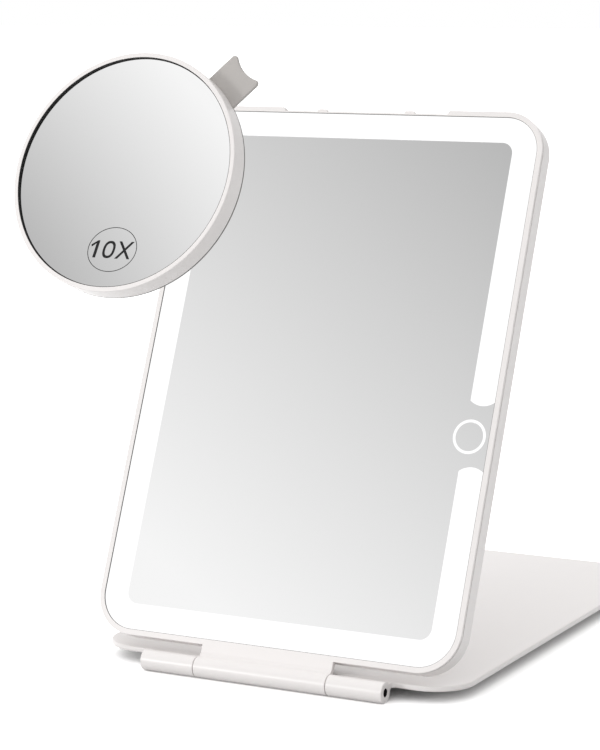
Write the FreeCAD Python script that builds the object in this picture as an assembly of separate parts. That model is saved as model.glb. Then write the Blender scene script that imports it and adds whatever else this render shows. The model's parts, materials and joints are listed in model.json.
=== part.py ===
import FreeCAD, Part
import math
import os

# Lighted travel mirror: a mirror panel hinged to a cover that is also its stand,
# with a round magnifier that is shown taken off, in front of the panel.
# Lengths are in millimetres and angles in degrees.

# Small values that several pieces share
overrun = 1.0            # how far a cut runs past what it cuts
level_share = 1e-4       # share of the overrun within which two places count as the same
snug_gap = 0.1           # gap between two moulded pieces that fit together
running_gap = 0.05       # radial gap of a turning fit
glue_gap = 0.05          # film of glue between flat pieces

# Mirror pane
glass_width = 161.0
glass_height = 228.5
glass_corner = 15.3
glass_thickness = 2.0
glass_recess = 0.35      # how far the pane lies behind the frame's front face
glass_fit = 0.12         # gap round the pane in its frame
tape_width = 1.2
tape_thickness = 0.25

# Front frame
bezel_width = 2.4
frame_depth = 1.5        # depth of the frame that shows on the panel's side
front_round = 0.45       # rounding of the frame's outer front edge
ledge_width = 1.5        # how far the ledge reaches under the pane
ledge_thickness = 1.0
skirt_wall = 1.1
skirt_reach = 1.5        # how far the skirt runs on behind the ledge
notch_width = 76.8       # latch notch in the panel's free edge
notch_depth = 1.6
apron_wall = 1.2         # wall of the frame that closes the notch
nub_width = 4.8
nub_height = 1.2
nub_spacing = 41.0
nub_front = 0.3          # how far the nubs start behind the front face
nub_length = 1.9

# Rear housing
housing_wall = 1.25
rear_wall = 1.3
rear_round = 1.2
seam_gap = 0.15          # shadow seam between frame and housing

# Hinge
lean = 22.5              # how far the panel leans back from upright at rest
barrel_radius = 4.3
barrel_length = 110.0
split_width = 60.4       # length of the middle knuckle between the two splits
split_gap = 0.3
pin_radius = 1.6
pin_recess = 3.0         # how far the pin's ends lie inside the barrel
pin_hole_gap = 0.02
tongue_thickness = 2.3
tongue_root = 1.1        # how far the tongue reaches into the panel's edge
front_offset = 0.25      # how far the frame's front face lies behind the hinge axis
axis_to_panel = 9.3      # from the hinge axis to the panel's lower edge
bush_wall = 0.95
bush_length = 9.0

# Stand
plate_thickness = 2.4
plate_front = 6.4        # from the hinge axis to the plate's front edge
plate_past_panel = 2.4   # how far the plate reaches past the panel's free edge when closed
plate_round = 0.8
plate_low_round = 0.5
cover_gap = 0.65         # gap between cover and frame when the mirror is closed
liner_rim = 3.2
liner_thickness = 0.7
keeper_length = 14.0
keeper_width = 6.0
keeper_thickness = 0.7
lip_gap = 0.35           # gap between the latch lip and the notch on every side
lip_inset = 0.8          # how far the lip stands in from the plate's rear edge

# Light and electronics
band_width = 10.8        # lit band, from the pane's edge inwards
guide_thickness = 1.4
guide_overlap = 2.0      # how far the light guide reaches past the band
strip_thickness = 0.3
led_length = 2.8
led_height = 1.1
led_depth = 0.7
leds_on_long_side = 18
leds_on_short_side = 12
reflector_thickness = 0.5
disc_radius = 12.0
disc_thickness = 1.5
magnet_length = 14.0
magnet_width = 6.0
magnet_thickness = 2.0
magnet_spacing = 100.0
magnet_edge = 10.5       # from the panel's free edge to the closing magnets' middle
touch_radius = 6.4
touch_thickness = 0.2
touch_side = 8.7         # from the pane's right edge to the touch ring's middle
touch_height = 93.9      # from the pane's lower edge to the touch ring's middle
ribbon_width = 5.0
ribbon_thickness = 0.15
ribbon_drop = 14.0       # from the touch ring's middle to where the ribbon turns back
board_width = 34.0
board_height = 50.0
board_thickness = 0.8
board_gap = 0.9          # space between the board and the rear wall, which the posts fill
board_edge = 3.4         # from the panel's left side to the board
post_radius = 2.0
post_inset = 3.2
screw_radius = 0.75
screw_head_radius = 1.5
screw_head_height = 0.6
screw_bite = 0.7         # how far a screw reaches past the board into its post
screw_row_share = 0.3    # share of the board's width where the left row of screws stands clear of the socket
chip_size = 5.0
chip_height = 0.75
chip_pitch = 9.0
chip_count = 3
socket_width = 8.94
socket_height = 3.0
socket_depth = 7.3
socket_wall = 0.3
socket_gap = 0.15        # gap round the socket in the housing and the board
socket_inset = 0.35      # how far the socket's mouth lies inside the panel's side
socket_clear = 0.4       # from the light guide to the socket
core_back = 2.0          # block that closes the back of the socket
core_tongue_width = 6.7
core_tongue_height = 0.7
core_tongue_short = 0.6  # how far the tongue ends behind the socket's mouth
battery_width = 74.0
battery_height = 84.0
battery_thickness = 2.1
battery_round = 0.9
battery_side = 9.0       # from the board to the battery
battery_rise = 10.0      # from the touch ring's height to the battery's lower edge
lead_radius = 0.4
lead_pitch = 2.2
lead_on_board = 4.0

# Magnifier
ring_opening = 39.4
ring_lip = 1.6           # width of the bright lip round the opening
ring_depth = 7.6
ring_front_round = 0.7
ring_back_round = 0.5
ring_inner_wall = 2.6    # wall of the ring behind the mirror's seat
seal_wall = 0.3
seal_lip = 0.15          # how far the seal lies behind the ring's front
mirror_recess = 1.0      # how far the concave mirror's edge lies behind the ring's front
mirror_thickness = 1.8
mirror_curve_radius = 400.0
back_thickness = 1.2
back_inset = 0.5
magnet_disc_radius = 10.0
magnet_disc_thickness = 1.6
pad_radius = 34.0
pad_thickness = 0.4
tab_width = 14.8
tab_out = 12.0           # how far the tab's tips reach past the ring
tab_hold = 8.0           # how far the tab reaches inside the ring
tab_thickness = 1.2
tab_turn = 47.5          # direction of the tab, from the level
tab_hollow_depth = 2.4   # hollow of the tab's end, between its tips
tab_tip_round = 1.3
hover_side = 38.4        # the magnifier's middle when taken off, across the panel
hover_height = 134.7     # the same, up the panel from the hinge axis
hover_clear = 2.6        # room between the magnifier and the path of the swinging panel
seat_height = 163.0      # the magnifier's middle on the mirror, up from the hinge axis
seat_gap = 0.3           # gap between the magnifier's pad and the pane

# Sizes worked out from the ones above
panel_half = glass_width / 2 + bezel_width
panel_low = axis_to_panel
panel_high = axis_to_panel + glass_height + 2 * bezel_width
panel_corner = glass_corner + bezel_width
front_level = -front_offset
pane_front = glass_recess
pane_back = pane_front + glass_thickness
seat_depth = pane_back + tape_thickness
ledge_back = seat_depth + ledge_thickness
skirt_inset = housing_wall + snug_gap
opening_inset = bezel_width - glass_fit
ledge_inset = bezel_width + ledge_width
strip_inset = skirt_inset + skirt_wall + glue_gap
guide_inset = strip_inset + strip_thickness + led_depth + snug_gap
guide_inner_inset = bezel_width + band_width + guide_overlap
guide_front = ledge_back + glue_gap
guide_back = guide_front + guide_thickness
reflector_front = guide_back + glue_gap
reflector_back = reflector_front + reflector_thickness
rear_inside = guide_back + socket_clear + socket_height + glue_gap
panel_thickness = rear_inside + rear_wall
board_back = rear_inside - board_gap
board_front = board_back - board_thickness
skirt_back = ledge_back + skirt_reach
housing_front = frame_depth + seam_gap
notch_floor = panel_high - notch_depth
touch_x = glass_width / 2 - touch_side
touch_y = panel_low + bezel_width + touch_height
split_half = split_width / 2
knuckle_half = split_half - split_gap / 2
outer_knuckle = split_half + split_gap / 2
barrel_half = barrel_length / 2
bush_radius = pin_radius + running_gap + bush_wall
plate_low = front_level + cover_gap
plate_high = plate_low + plate_thickness
plate_rear = panel_high + plate_past_panel
board_left = -panel_half + board_edge
board_right = board_left + board_width
board_low = touch_y - board_height / 2
board_high = touch_y + board_height / 2
socket_mouth = -panel_half + socket_inset
socket_end = socket_mouth + socket_depth
socket_middle = rear_inside - glue_gap - socket_height / 2
battery_left = board_right + battery_side
battery_low = touch_y + battery_rise
battery_front = reflector_back + glue_gap
ring_radius = ring_opening + ring_lip
mirror_radius = ring_opening - seal_wall - glue_gap
seat_radius = mirror_radius - ring_inner_wall
magnifier_depth = ring_depth + back_thickness + pad_thickness
tab_reach = ring_radius + tab_out
panel_sweep = math.hypot(panel_high, front_offset + panel_thickness)
hover_low = hover_height - ring_radius
hover_distance = magnifier_depth + math.sqrt((panel_sweep + hover_clear) ** 2 - hover_low ** 2)


def vec(x, y, z):
    """A point or direction."""
    return FreeCAD.Vector(x, y, z)


def box(x_low, x_high, y_low, y_high, z_low, z_high):
    """Block between two corners."""
    return Part.makeBox(x_high - x_low, y_high - y_low, z_high - z_low, vec(x_low, y_low, z_low))


def disc(radius, x, y, z_low, z_high):
    """Upright cylinder."""
    return Part.makeCylinder(radius, z_high - z_low, vec(x, y, z_low))


def rod_along_x(radius, x_low, x_high, y=0, z=0):
    """Cylinder that lies along the hinge direction."""
    return Part.makeCylinder(radius, x_high - x_low, vec(x_low, y, z), vec(1, 0, 0))


def arc(centre, radius, start, end, z):
    """Arc in a level plane, between two angles in degrees."""
    def at(angle):
        turn = math.radians(angle)
        return vec(centre[0] + radius * math.cos(turn), centre[1] + radius * math.sin(turn), z)
    return Part.Arc(at(start), at((start + end) / 2), at(end)).toShape()


def joined(edges):
    """One closed wire through edges that are given in order, with lines where they don't meet."""
    whole = []
    for edge, following in zip(edges, edges[1:] + edges[:1]):
        whole.append(edge)
        tail = edge.valueAt(edge.LastParameter)
        head = following.valueAt(following.FirstParameter)
        if tail.distanceToPoint(head) > overrun * level_share:
            whole.append(Part.makeLine(tail, head))
    return Part.Wire(whole)


def round_slab(half, y_low, y_high, corner, z_low, z_high):
    """Slab whose outline is a rectangle with round corners."""
    x = half - corner
    corners = [
        arc((x, y_low + corner), corner, -90, 0, z_low),
        arc((x, y_high - corner), corner, 0, 90, z_low),
        arc((-x, y_high - corner), corner, 90, 180, z_low),
        arc((-x, y_low + corner), corner, 180, 270, z_low),
    ]
    return Part.Face(joined(corners)).extrude(vec(0, 0, z_high - z_low))


def edges_at(shape, z):
    """Edges of a shape that lie wholly at one height."""
    near = overrun * level_share
    return [e for e in shape.Edges if abs(e.BoundBox.ZMin - z) < near and abs(e.BoundBox.ZMax - z) < near]


def fused(first, *others):
    """Union of solids, with the faces that lie in one plane merged."""
    return first.multiFuse(list(others)).removeSplitter()


def lathe(points):
    """Solid of revolution about the upright axis, from (radius, height) corners."""
    outline = Part.makePolygon([vec(r, 0, z) for r, z in points + points[:1]])
    return Part.Face(outline).revolve(vec(0, 0, 0), vec(0, 0, 1), 360)


# Panel pieces are made lying flat: x across, y up the panel from the hinge axis, z out of the front.
def level(depth):
    """Height of a plane that lies a depth behind the frame's front face."""
    return front_level - depth


def panel_layer(inset, front, back):
    """Slab with the panel's outline moved in, between two depths."""
    return round_slab(panel_half - inset, panel_low + inset, panel_high - inset,
                      panel_corner - inset, level(back), level(front))


def panel_ring(outer_inset, inner_inset, front, back):
    """Closed band that follows the panel's outline, between two depths."""
    return panel_layer(outer_inset, front, back).cut(
        panel_layer(inner_inset, front - overrun, back + overrun))


def panel_box(x_low, x_high, y_low, y_high, front, back):
    """Block of the panel between two depths."""
    return box(x_low, x_high, y_low, y_high, level(back), level(front))


def latch_notch():
    """Space of the latch notch, right through the panel's free edge."""
    half = notch_width / 2
    return panel_box(-half, half, notch_floor, panel_high + overrun, -overrun, panel_thickness + overrun)


def make_front_frame():
    """Bezel with ledge and skirt, the notch's apron and nubs, the tongue and the middle knuckle."""
    slab = panel_layer(0, 0, frame_depth)
    slab = slab.makeFillet(front_round, edges_at(slab, level(0)))
    bezel = slab.cut(panel_layer(opening_inset, -overrun, frame_depth + overrun))
    neck = panel_ring(skirt_inset, opening_inset, frame_depth, seat_depth)
    ledge = panel_ring(skirt_inset, ledge_inset, seat_depth, ledge_back)
    skirt = panel_ring(skirt_inset, skirt_inset + skirt_wall, ledge_back, skirt_back)
    ring = fused(bezel, neck, ledge, skirt).cut(latch_notch())
    half = notch_width / 2
    apron = panel_box(-half, half, notch_floor - apron_wall, notch_floor, seat_depth, rear_inside - snug_gap)
    extras = [apron]
    for side in (-1, 1):
        middle = side * nub_spacing / 2
        extras.append(panel_box(middle - nub_width / 2, middle + nub_width / 2, notch_floor - nub_height / 2,
                                notch_floor + nub_height, nub_front, nub_front + nub_length))
    extras.append(panel_box(-knuckle_half, knuckle_half, 0, panel_low + tongue_root, 0, tongue_thickness))
    extras.append(rod_along_x(barrel_radius, -knuckle_half, knuckle_half))
    whole = fused(ring, *extras)
    bores = [rod_along_x(pin_radius + running_gap, -split_half, split_half)]
    for side in (-1, 1):
        ends = sorted((side * split_half, side * (knuckle_half - bush_length)))
        bores.append(rod_along_x(bush_radius, ends[0], ends[1]))
    return whole.cut(bores)


def make_bush(side):
    """Friction bush in one end of the middle knuckle."""
    ends = sorted((side * knuckle_half, side * (knuckle_half - bush_length)))
    return rod_along_x(bush_radius, ends[0], ends[1]).cut(
        rod_along_x(pin_radius + running_gap, ends[0] - overrun, ends[1] + overrun))


def socket_solid(x_low, x_high, grow):
    """Flat-sided round-ended bar along x, the charging socket's outline grown by a gap."""
    height = socket_height + 2 * grow
    reach = (socket_width - socket_height) / 2
    middle = level(socket_middle)
    bar = box(x_low, x_high, touch_y - reach, touch_y + reach, middle - height / 2, middle + height / 2)
    ends = [rod_along_x(height / 2, x_low, x_high, touch_y + side * reach, middle) for side in (-1, 1)]
    return fused(bar, *ends)


def board_corners():
    """Places of the board's four screws."""
    xs = (board_left + board_width * screw_row_share, board_right - post_inset)
    ys = (board_low + post_inset, board_high - post_inset)
    return [(x, y) for x in xs for y in ys]


def make_rear_housing():
    """Tray that closes the panel's back, with its port hole and the board's posts."""
    slab = panel_layer(0, housing_front, panel_thickness)
    slab = slab.makeFillet(rear_round, edges_at(slab, level(panel_thickness)))
    tray = slab.cut(panel_layer(housing_wall, housing_front - overrun, rear_inside))
    tongue_slot = panel_box(-knuckle_half - snug_gap, knuckle_half + snug_gap, panel_low - overrun,
                            panel_low + tongue_root + snug_gap, 0, tongue_thickness + snug_gap)
    port = socket_solid(-panel_half - overrun, -panel_half + housing_wall + overrun, socket_gap)
    tray = tray.cut([latch_notch(), tongue_slot, port])
    posts = []
    pilots = []
    for x, y in board_corners():
        posts.append(disc(post_radius, x, y, level(rear_inside), level(board_back)))
        pilots.append(disc(screw_radius, x, y, level(board_back + screw_bite), level(board_back)))
    return fused(tray, *posts).cut(pilots)


def apron_room(front, back):
    """Space between two depths that stays free for the apron of the notch."""
    half = notch_width / 2 + snug_gap
    low = notch_floor - apron_wall - snug_gap
    return panel_box(-half, half, low, panel_high, front - overrun, back + overrun)


def make_reflector():
    """Plate behind the light guide, cut clear of the socket and slotted for the ribbon."""
    plate = panel_layer(guide_inset, reflector_front, reflector_back)
    reach = socket_width / 2 + socket_gap
    gap = panel_box(-panel_half, socket_end + socket_gap, touch_y - reach, touch_y + reach,
                    reflector_front - overrun, reflector_back + overrun)
    turn = touch_x - ribbon_drop
    half = ribbon_width / 2 + snug_gap
    slot = panel_box(turn - ribbon_thickness - snug_gap, turn + snug_gap, touch_y - half, touch_y + half,
                     reflector_front - overrun, reflector_back + overrun)
    return plate.cut([gap, slot, apron_room(reflector_front, reflector_back)])


def make_light_guide():
    """Diffuser frame behind the lit band."""
    guide = panel_ring(guide_inset, guide_inner_inset, guide_front, guide_back)
    return guide.cut(apron_room(guide_front, guide_back))


def make_led_strip():
    """Flexible strip that stands round the light guide, open at the apron of the notch."""
    strip = panel_ring(strip_inset, strip_inset + strip_thickness, guide_front, guide_back)
    return strip.cut(apron_room(guide_front, guide_back))


def led_at(x, y, size_x, size_y):
    """One lamp with its middle at a place on one side of the panel."""
    middle = (guide_front + guide_back) / 2
    return panel_box(x - size_x / 2, x + size_x / 2, y - size_y / 2, y + size_y / 2,
                     middle - led_height / 2, middle + led_height / 2)


def make_leds():
    """Lamps along the two long sides and the lower side, and beside the notch on the upper side."""
    inset = strip_inset + strip_thickness + led_depth / 2
    lamps = []
    long_pitch = (glass_height - 2 * glass_corner) / leds_on_long_side
    for index in range(leds_on_long_side):
        y = panel_low + panel_corner + long_pitch / 2 + index * long_pitch
        lamps.append(led_at(-panel_half + inset, y, led_depth, led_length))
        lamps.append(led_at(panel_half - inset, y, led_depth, led_length))
    short_pitch = (glass_width - 2 * glass_corner) / leds_on_short_side
    for index in range(leds_on_short_side):
        x = glass_corner - glass_width / 2 + short_pitch / 2 + index * short_pitch
        lamps.append(led_at(x, panel_low + inset, led_length, led_depth))
        if abs(x) > notch_width / 2 + led_length:
            lamps.append(led_at(x, panel_high - inset, led_length, led_depth))
    return Part.makeCompound(lamps)


def make_touch_ribbon():
    """Flat cable: along the pane's back, back through the reflector, and across to the board."""
    half = ribbon_width / 2
    turn = touch_x - ribbon_drop
    low, high = touch_y - half, touch_y + half
    lead = panel_box(turn - ribbon_thickness, touch_x - touch_radius, low, high,
                     pane_back, pane_back + ribbon_thickness)
    drop = panel_box(turn - ribbon_thickness, turn, low, high, pane_back,
                     reflector_back + glue_gap + ribbon_thickness)
    run = panel_box(board_right, turn, low, high, reflector_back + glue_gap,
                    reflector_back + glue_gap + ribbon_thickness)
    plug = panel_box(board_right - ribbon_width, board_right + ribbon_thickness, low, high,
                     reflector_back + glue_gap, board_front)
    return fused(lead, drop, run, plug)


def make_main_board():
    """Circuit board, cut out round the socket and drilled for its screws."""
    board = panel_box(board_left, board_right, board_low, board_high, board_front, board_back)
    holes = [disc(screw_radius + snug_gap, x, y, level(board_back + overrun), level(board_front - overrun))
             for x, y in board_corners()]
    return board.cut(holes + [socket_solid(board_left - overrun, socket_end + socket_gap, socket_gap)])


def make_board_screws():
    """Four screws from the board's front into the posts."""
    screws = []
    for x, y in board_corners():
        shank = disc(screw_radius, x, y, level(board_back + screw_bite), level(board_front))
        head = disc(screw_head_radius, x, y, level(board_front), level(board_front - screw_head_height))
        screws.append(fused(shank, head))
    return Part.makeCompound(screws)


def make_board_chips():
    """Chips in a row on the board's back."""
    chips = []
    x_middle = (socket_end + board_right) / 2 + chip_size / 2
    for index in range(chip_count):
        y = touch_y + (index - (chip_count - 1) / 2) * chip_pitch
        chips.append(panel_box(x_middle - chip_size / 2, x_middle + chip_size / 2, y - chip_size / 2,
                               y + chip_size / 2, board_back, board_back + chip_height))
    return Part.makeCompound(chips)


def make_socket_shell():
    """Metal shell of the charging socket."""
    return socket_solid(socket_mouth, socket_end, 0).cut(
        socket_solid(socket_mouth - overrun, socket_end + overrun, -socket_wall))


def make_socket_core():
    """Block that closes the socket's back, with the tongue that carries the contacts."""
    block = socket_solid(socket_end - core_back, socket_end, -socket_wall)
    middle = level(socket_middle)
    half = core_tongue_width / 2
    tongue = box(socket_mouth + core_tongue_short, socket_end - core_back, touch_y - half, touch_y + half,
                 middle - core_tongue_height / 2, middle + core_tongue_height / 2)
    return fused(block, tongue)


def make_battery():
    """Flat pouch cell on the reflector's back."""
    back = battery_front + battery_thickness
    cell = panel_box(battery_left, battery_left + battery_width, battery_low, battery_low + battery_height,
                     battery_front, back)
    return cell.makeFillet(battery_round, edges_at(cell, level(back)))


def make_battery_leads():
    """Two leads from the cell's side to the board."""
    leads = []
    for row in (1, 2):
        leads.append(rod_along_x(lead_radius, board_right - lead_on_board, battery_left,
                                 battery_low + row * lead_pitch, level(board_front - lead_radius)))
    return Part.makeCompound(leads)


def make_bars(length, width, z_low, z_high):
    """Pair of bars near the free edge, one on each side."""
    y = panel_high - magnet_edge
    bars = []
    for side in (-1, 1):
        x = side * magnet_spacing / 2
        bars.append(box(x - length / 2, x + length / 2, y - width / 2, y + width / 2, z_low, z_high))
    return bars


# Stand pieces are made level: x across, y back from the hinge axis, z up.
def plate_layer(inset, z_low, z_high):
    """Slab with the cover plate's outline moved in."""
    return round_slab(panel_half - inset, plate_front + inset, plate_rear - inset,
                      panel_corner - inset, z_low, z_high)


def make_stand_shell():
    """Cover plate with its outer knuckles and the latch lip, which is also the rear foot."""
    plate = plate_layer(0, plate_low, plate_high)
    plate = plate.makeFillet(plate_round, edges_at(plate, plate_high))
    plate = plate.makeFillet(plate_low_round, edges_at(plate, plate_low))
    plate = plate.cut(plate_layer(liner_rim, plate_low - overrun, plate_low + liner_thickness + glue_gap))
    pocket_low = plate_low + liner_thickness
    plate = plate.cut(make_bars(keeper_length + 2 * snug_gap, keeper_width + 2 * snug_gap, pocket_low,
                                pocket_low + glue_gap + keeper_thickness))
    added = []
    for side in (-1, 1):
        ends = sorted((side * outer_knuckle, side * barrel_half))
        added.append(rod_along_x(barrel_radius, ends[0], ends[1]))
        added.append(box(ends[0], ends[1], 0, plate_front + liner_rim, plate_low, plate_high))
    lip_half = notch_width / 2 - lip_gap
    lip = box(-lip_half, lip_half, notch_floor + lip_gap, plate_rear - lip_inset, -barrel_radius,
              plate_low + liner_thickness)
    slots = []
    for side in (-1, 1):
        middle = side * nub_spacing / 2
        half = nub_width / 2 + lip_gap
        slots.append(box(middle - half, middle + half, notch_floor, notch_floor + nub_height + lip_gap,
                         -barrel_radius - overrun, plate_low - lip_gap))
    added.append(lip.cut(slots))
    whole = fused(plate, *added)
    return whole.cut(rod_along_x(pin_radius + pin_hole_gap, -barrel_half - overrun, barrel_half + overrun))


def make_stand_liner():
    """Inner sheet, flush with the cover's underside."""
    sheet = plate_layer(liner_rim + snug_gap, plate_low, plate_low + liner_thickness)
    lip_half = notch_width / 2 - lip_gap + snug_gap
    lip_low = notch_floor + lip_gap - snug_gap
    free = box(-lip_half, lip_half, lip_low, plate_rear, plate_low - overrun, plate_high)
    webs = []
    for side in (-1, 1):
        ends = sorted((side * (outer_knuckle - snug_gap), side * (barrel_half + snug_gap)))
        webs.append(box(ends[0], ends[1], 0, plate_front + liner_rim + snug_gap,
                        plate_low - overrun, plate_high))
    return sheet.cut([free] + webs)


def make_hinge_pin():
    """Pin through the three knuckles."""
    half = barrel_half - pin_recess
    return rod_along_x(pin_radius, -half, half)


# Magnifier pieces are made lying flat about their own middle, with the ring's front at height zero.
def bowl_depth(radius, behind):
    """Depth of the concave mirror at a radius, a thickness behind its face, below the ring's front."""
    rim_drop = math.sqrt(mirror_curve_radius ** 2 - mirror_radius ** 2)
    return mirror_recess + math.sqrt((mirror_curve_radius + behind) ** 2 - radius ** 2) - rim_drop


mirror_seat = bowl_depth(seat_radius, mirror_thickness)


def make_magnifier_ring():
    """Round housing with a seat for the mirror, slotted for the tab."""
    ring = lathe([(ring_opening, 0), (ring_radius, 0), (ring_radius, -ring_depth), (seat_radius, -ring_depth),
                  (seat_radius, -mirror_seat - glue_gap), (ring_opening, -mirror_seat - glue_gap)])
    ring = ring.makeFillet(ring_front_round, outer_edges(ring, 0))
    ring = ring.makeFillet(ring_back_round, outer_edges(ring, -ring_depth))
    slot = box(0, ring_radius + overrun, -tab_width / 2 - snug_gap, tab_width / 2 + snug_gap,
               -ring_depth - overrun, -ring_depth + tab_thickness + snug_gap)
    return ring.cut(turned(slot))


def outer_edges(shape, z):
    """Edges at one height that run round the magnifier's outer wall."""
    return [e for e in edges_at(shape, z) if e.BoundBox.XMax > ring_opening + overrun * level_share]


def turned(shape):
    """A copy of a shape turned to the pull tab's direction."""
    copy = shape.copy()
    copy.rotate(vec(0, 0, 0), vec(0, 0, 1), tab_turn)
    return copy


def make_magnifier_glass():
    """Concave mirror of even thickness, cut from two spheres."""
    blank = disc(mirror_radius, 0, 0, -bowl_depth(0, mirror_thickness) - overrun, -mirror_recess)
    centre = vec(0, 0, mirror_curve_radius - bowl_depth(0, 0))
    hollow = Part.makeSphere(mirror_curve_radius, centre)
    shell = Part.makeSphere(mirror_curve_radius + mirror_thickness, centre)
    return blank.cut(hollow).common(shell)


def make_magnifier_seal():
    """Dark seal between the ring and the concave mirror."""
    inner = ring_opening - seal_wall
    return lathe([(inner, -seal_lip), (ring_opening, -seal_lip), (ring_opening, -mirror_seat),
                  (inner, -mirror_seat)])


def make_magnifier_back():
    """Back cover behind the ring."""
    cover = disc(ring_radius - back_inset, 0, 0, -ring_depth - back_thickness, -ring_depth)
    return cover.makeFillet(ring_back_round, edges_at(cover, -ring_depth - back_thickness))


def make_pull_tab():
    """Soft tab with a hollow end and round tips, held inside the ring."""
    low = -ring_depth
    start = seat_radius - tab_hold
    half = tab_width / 2
    strap = box(start, tab_reach + overrun, -half, half, low, low + tab_thickness)
    hollow_radius = (half ** 2 + tab_hollow_depth ** 2) / (2 * tab_hollow_depth)
    hollow = disc(hollow_radius, tab_reach + hollow_radius - tab_hollow_depth, 0,
                  low - overrun, low + tab_thickness + overrun)
    strap = strap.cut(hollow)
    near = overrun * level_share
    upright = [e for e in strap.Edges if max(e.BoundBox.XLength, e.BoundBox.YLength) < near]
    tips = [e for e in upright if e.BoundBox.XMin > ring_radius]
    return turned(strap.makeFillet(tab_tip_round, tips))


def make_magnifier_magnet():
    """Holding magnet on the inside of the back cover."""
    return disc(magnet_disc_radius, 0, 0, -ring_depth, -ring_depth + magnet_disc_thickness)


def make_magnifier_pad():
    """Soft pad that meets the mirror."""
    return disc(pad_radius, 0, 0, -magnifier_depth, -ring_depth - back_thickness)


def panel_pose(shape):
    """A panel piece in its rest pose, leaning back on the hinge axis."""
    shape.rotate(vec(0, 0, 0), vec(1, 0, 0), 90 - lean)
    shape.translate(vec(0, 0, barrel_radius))
    return shape


def stand_pose(shape):
    """A stand piece with its barrel on the table."""
    shape.translate(vec(0, 0, barrel_radius))
    return shape


def magnifier_pose(shape):
    """A magnifier piece where it hovers in front of the panel, parallel to it."""
    shape.translate(vec(hover_side, hover_height, hover_distance))
    return panel_pose(shape)


stand_pieces = {
    "stand_shell": make_stand_shell(),
    "stand_liner": make_stand_liner(),
    "closing_keepers": Part.makeCompound(make_bars(
        keeper_length, keeper_width, plate_low + liner_thickness,
        plate_low + liner_thickness + keeper_thickness)),
    "hinge_pin": make_hinge_pin(),
}
panel_pieces = {
    "front_frame": make_front_frame(),
    "rear_housing": make_rear_housing(),
    "mirror_glass": panel_layer(bezel_width, pane_front, pane_back),
    "glass_tape": panel_ring(bezel_width + snug_gap, bezel_width + snug_gap + tape_width,
                             pane_back, seat_depth),
    "light_guide": make_light_guide(),
    "led_strip": make_led_strip(),
    "leds": make_leds(),
    "reflector_plate": make_reflector(),
    "touch_sensor": disc(touch_radius, touch_x, touch_y,
                         level(pane_back + touch_thickness), level(pane_back)),
    "touch_ribbon": make_touch_ribbon(),
    "catch_disc": disc(disc_radius, 0, seat_height, level(reflector_front),
                       level(reflector_front - disc_thickness)),
    "closing_magnets": Part.makeCompound(make_bars(
        magnet_length, magnet_width, level(reflector_back + magnet_thickness), level(reflector_back))),
    "main_board": make_main_board(),
    "board_chips": make_board_chips(),
    "board_screws": make_board_screws(),
    "usb_socket_shell": make_socket_shell(),
    "usb_socket_core": make_socket_core(),
    "battery": make_battery(),
    "battery_leads": make_battery_leads(),
    "friction_bush_left": make_bush(-1),
    "friction_bush_right": make_bush(1),
}
magnifier_pieces = {
    "magnifier_ring": make_magnifier_ring(),
    "magnifier_back": make_magnifier_back(),
    "magnifier_glass": make_magnifier_glass(),
    "magnifier_seal": make_magnifier_seal(),
    "magnifier_magnet": make_magnifier_magnet(),
    "magnifier_pad": make_magnifier_pad(),
    "pull_tab": make_pull_tab(),
}

posed = {}
groups = ((stand_pieces, stand_pose), (panel_pieces, panel_pose), (magnifier_pieces, magnifier_pose))
for pieces, pose in groups:
    for name, shape in pieces.items():
        posed[name] = pose(shape)

# The origin is the middle of the whole object's footprint, on the table.
whole_box = Part.makeCompound(list(posed.values())).optimalBoundingBox(False, False)
shift = vec(-(whole_box.XMin + whole_box.XMax) / 2, -(whole_box.YMin + whole_box.YMax) / 2, -whole_box.ZMin)

os.makedirs("parts", exist_ok=True)
for name, shape in posed.items():
    shape.translate(shift)
    shape.exportStep(os.path.join("parts", name + ".step"))

seat_distance = level(pane_front) + seat_gap + magnifier_depth
travel = vec(-hover_side, seat_height - hover_height, seat_distance - hover_distance)
panel_turn = FreeCAD.Rotation(vec(1, 0, 0), 90 - lean)
hinge_point = shift + vec(0, 0, barrel_radius)
mouth_point = vec(socket_mouth, touch_y, level(socket_middle))
print("hinge axis point", hinge_point)
print("magnifier travel to its seat", panel_turn.multVec(travel), "length", travel.Length)
print("socket mouth", hinge_point + panel_turn.multVec(mouth_point))
print("box", whole_box.XLength, whole_box.YLength, whole_box.ZLength)
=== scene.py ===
"""Looks of the lighted travel mirror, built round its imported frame.

Each sub-assembly is worked out in millimetres in a local frame of its own, on numpy grids, and is then
placed in the row frame in metres. Shells, mirrors and soft parts replace their plain CAD nodes, and the
inner nodes that stay get finishes of their own.
"""
import json
import logging
import math
from dataclasses import dataclass
from enum import Enum
from typing import ClassVar, Sequence

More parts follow.
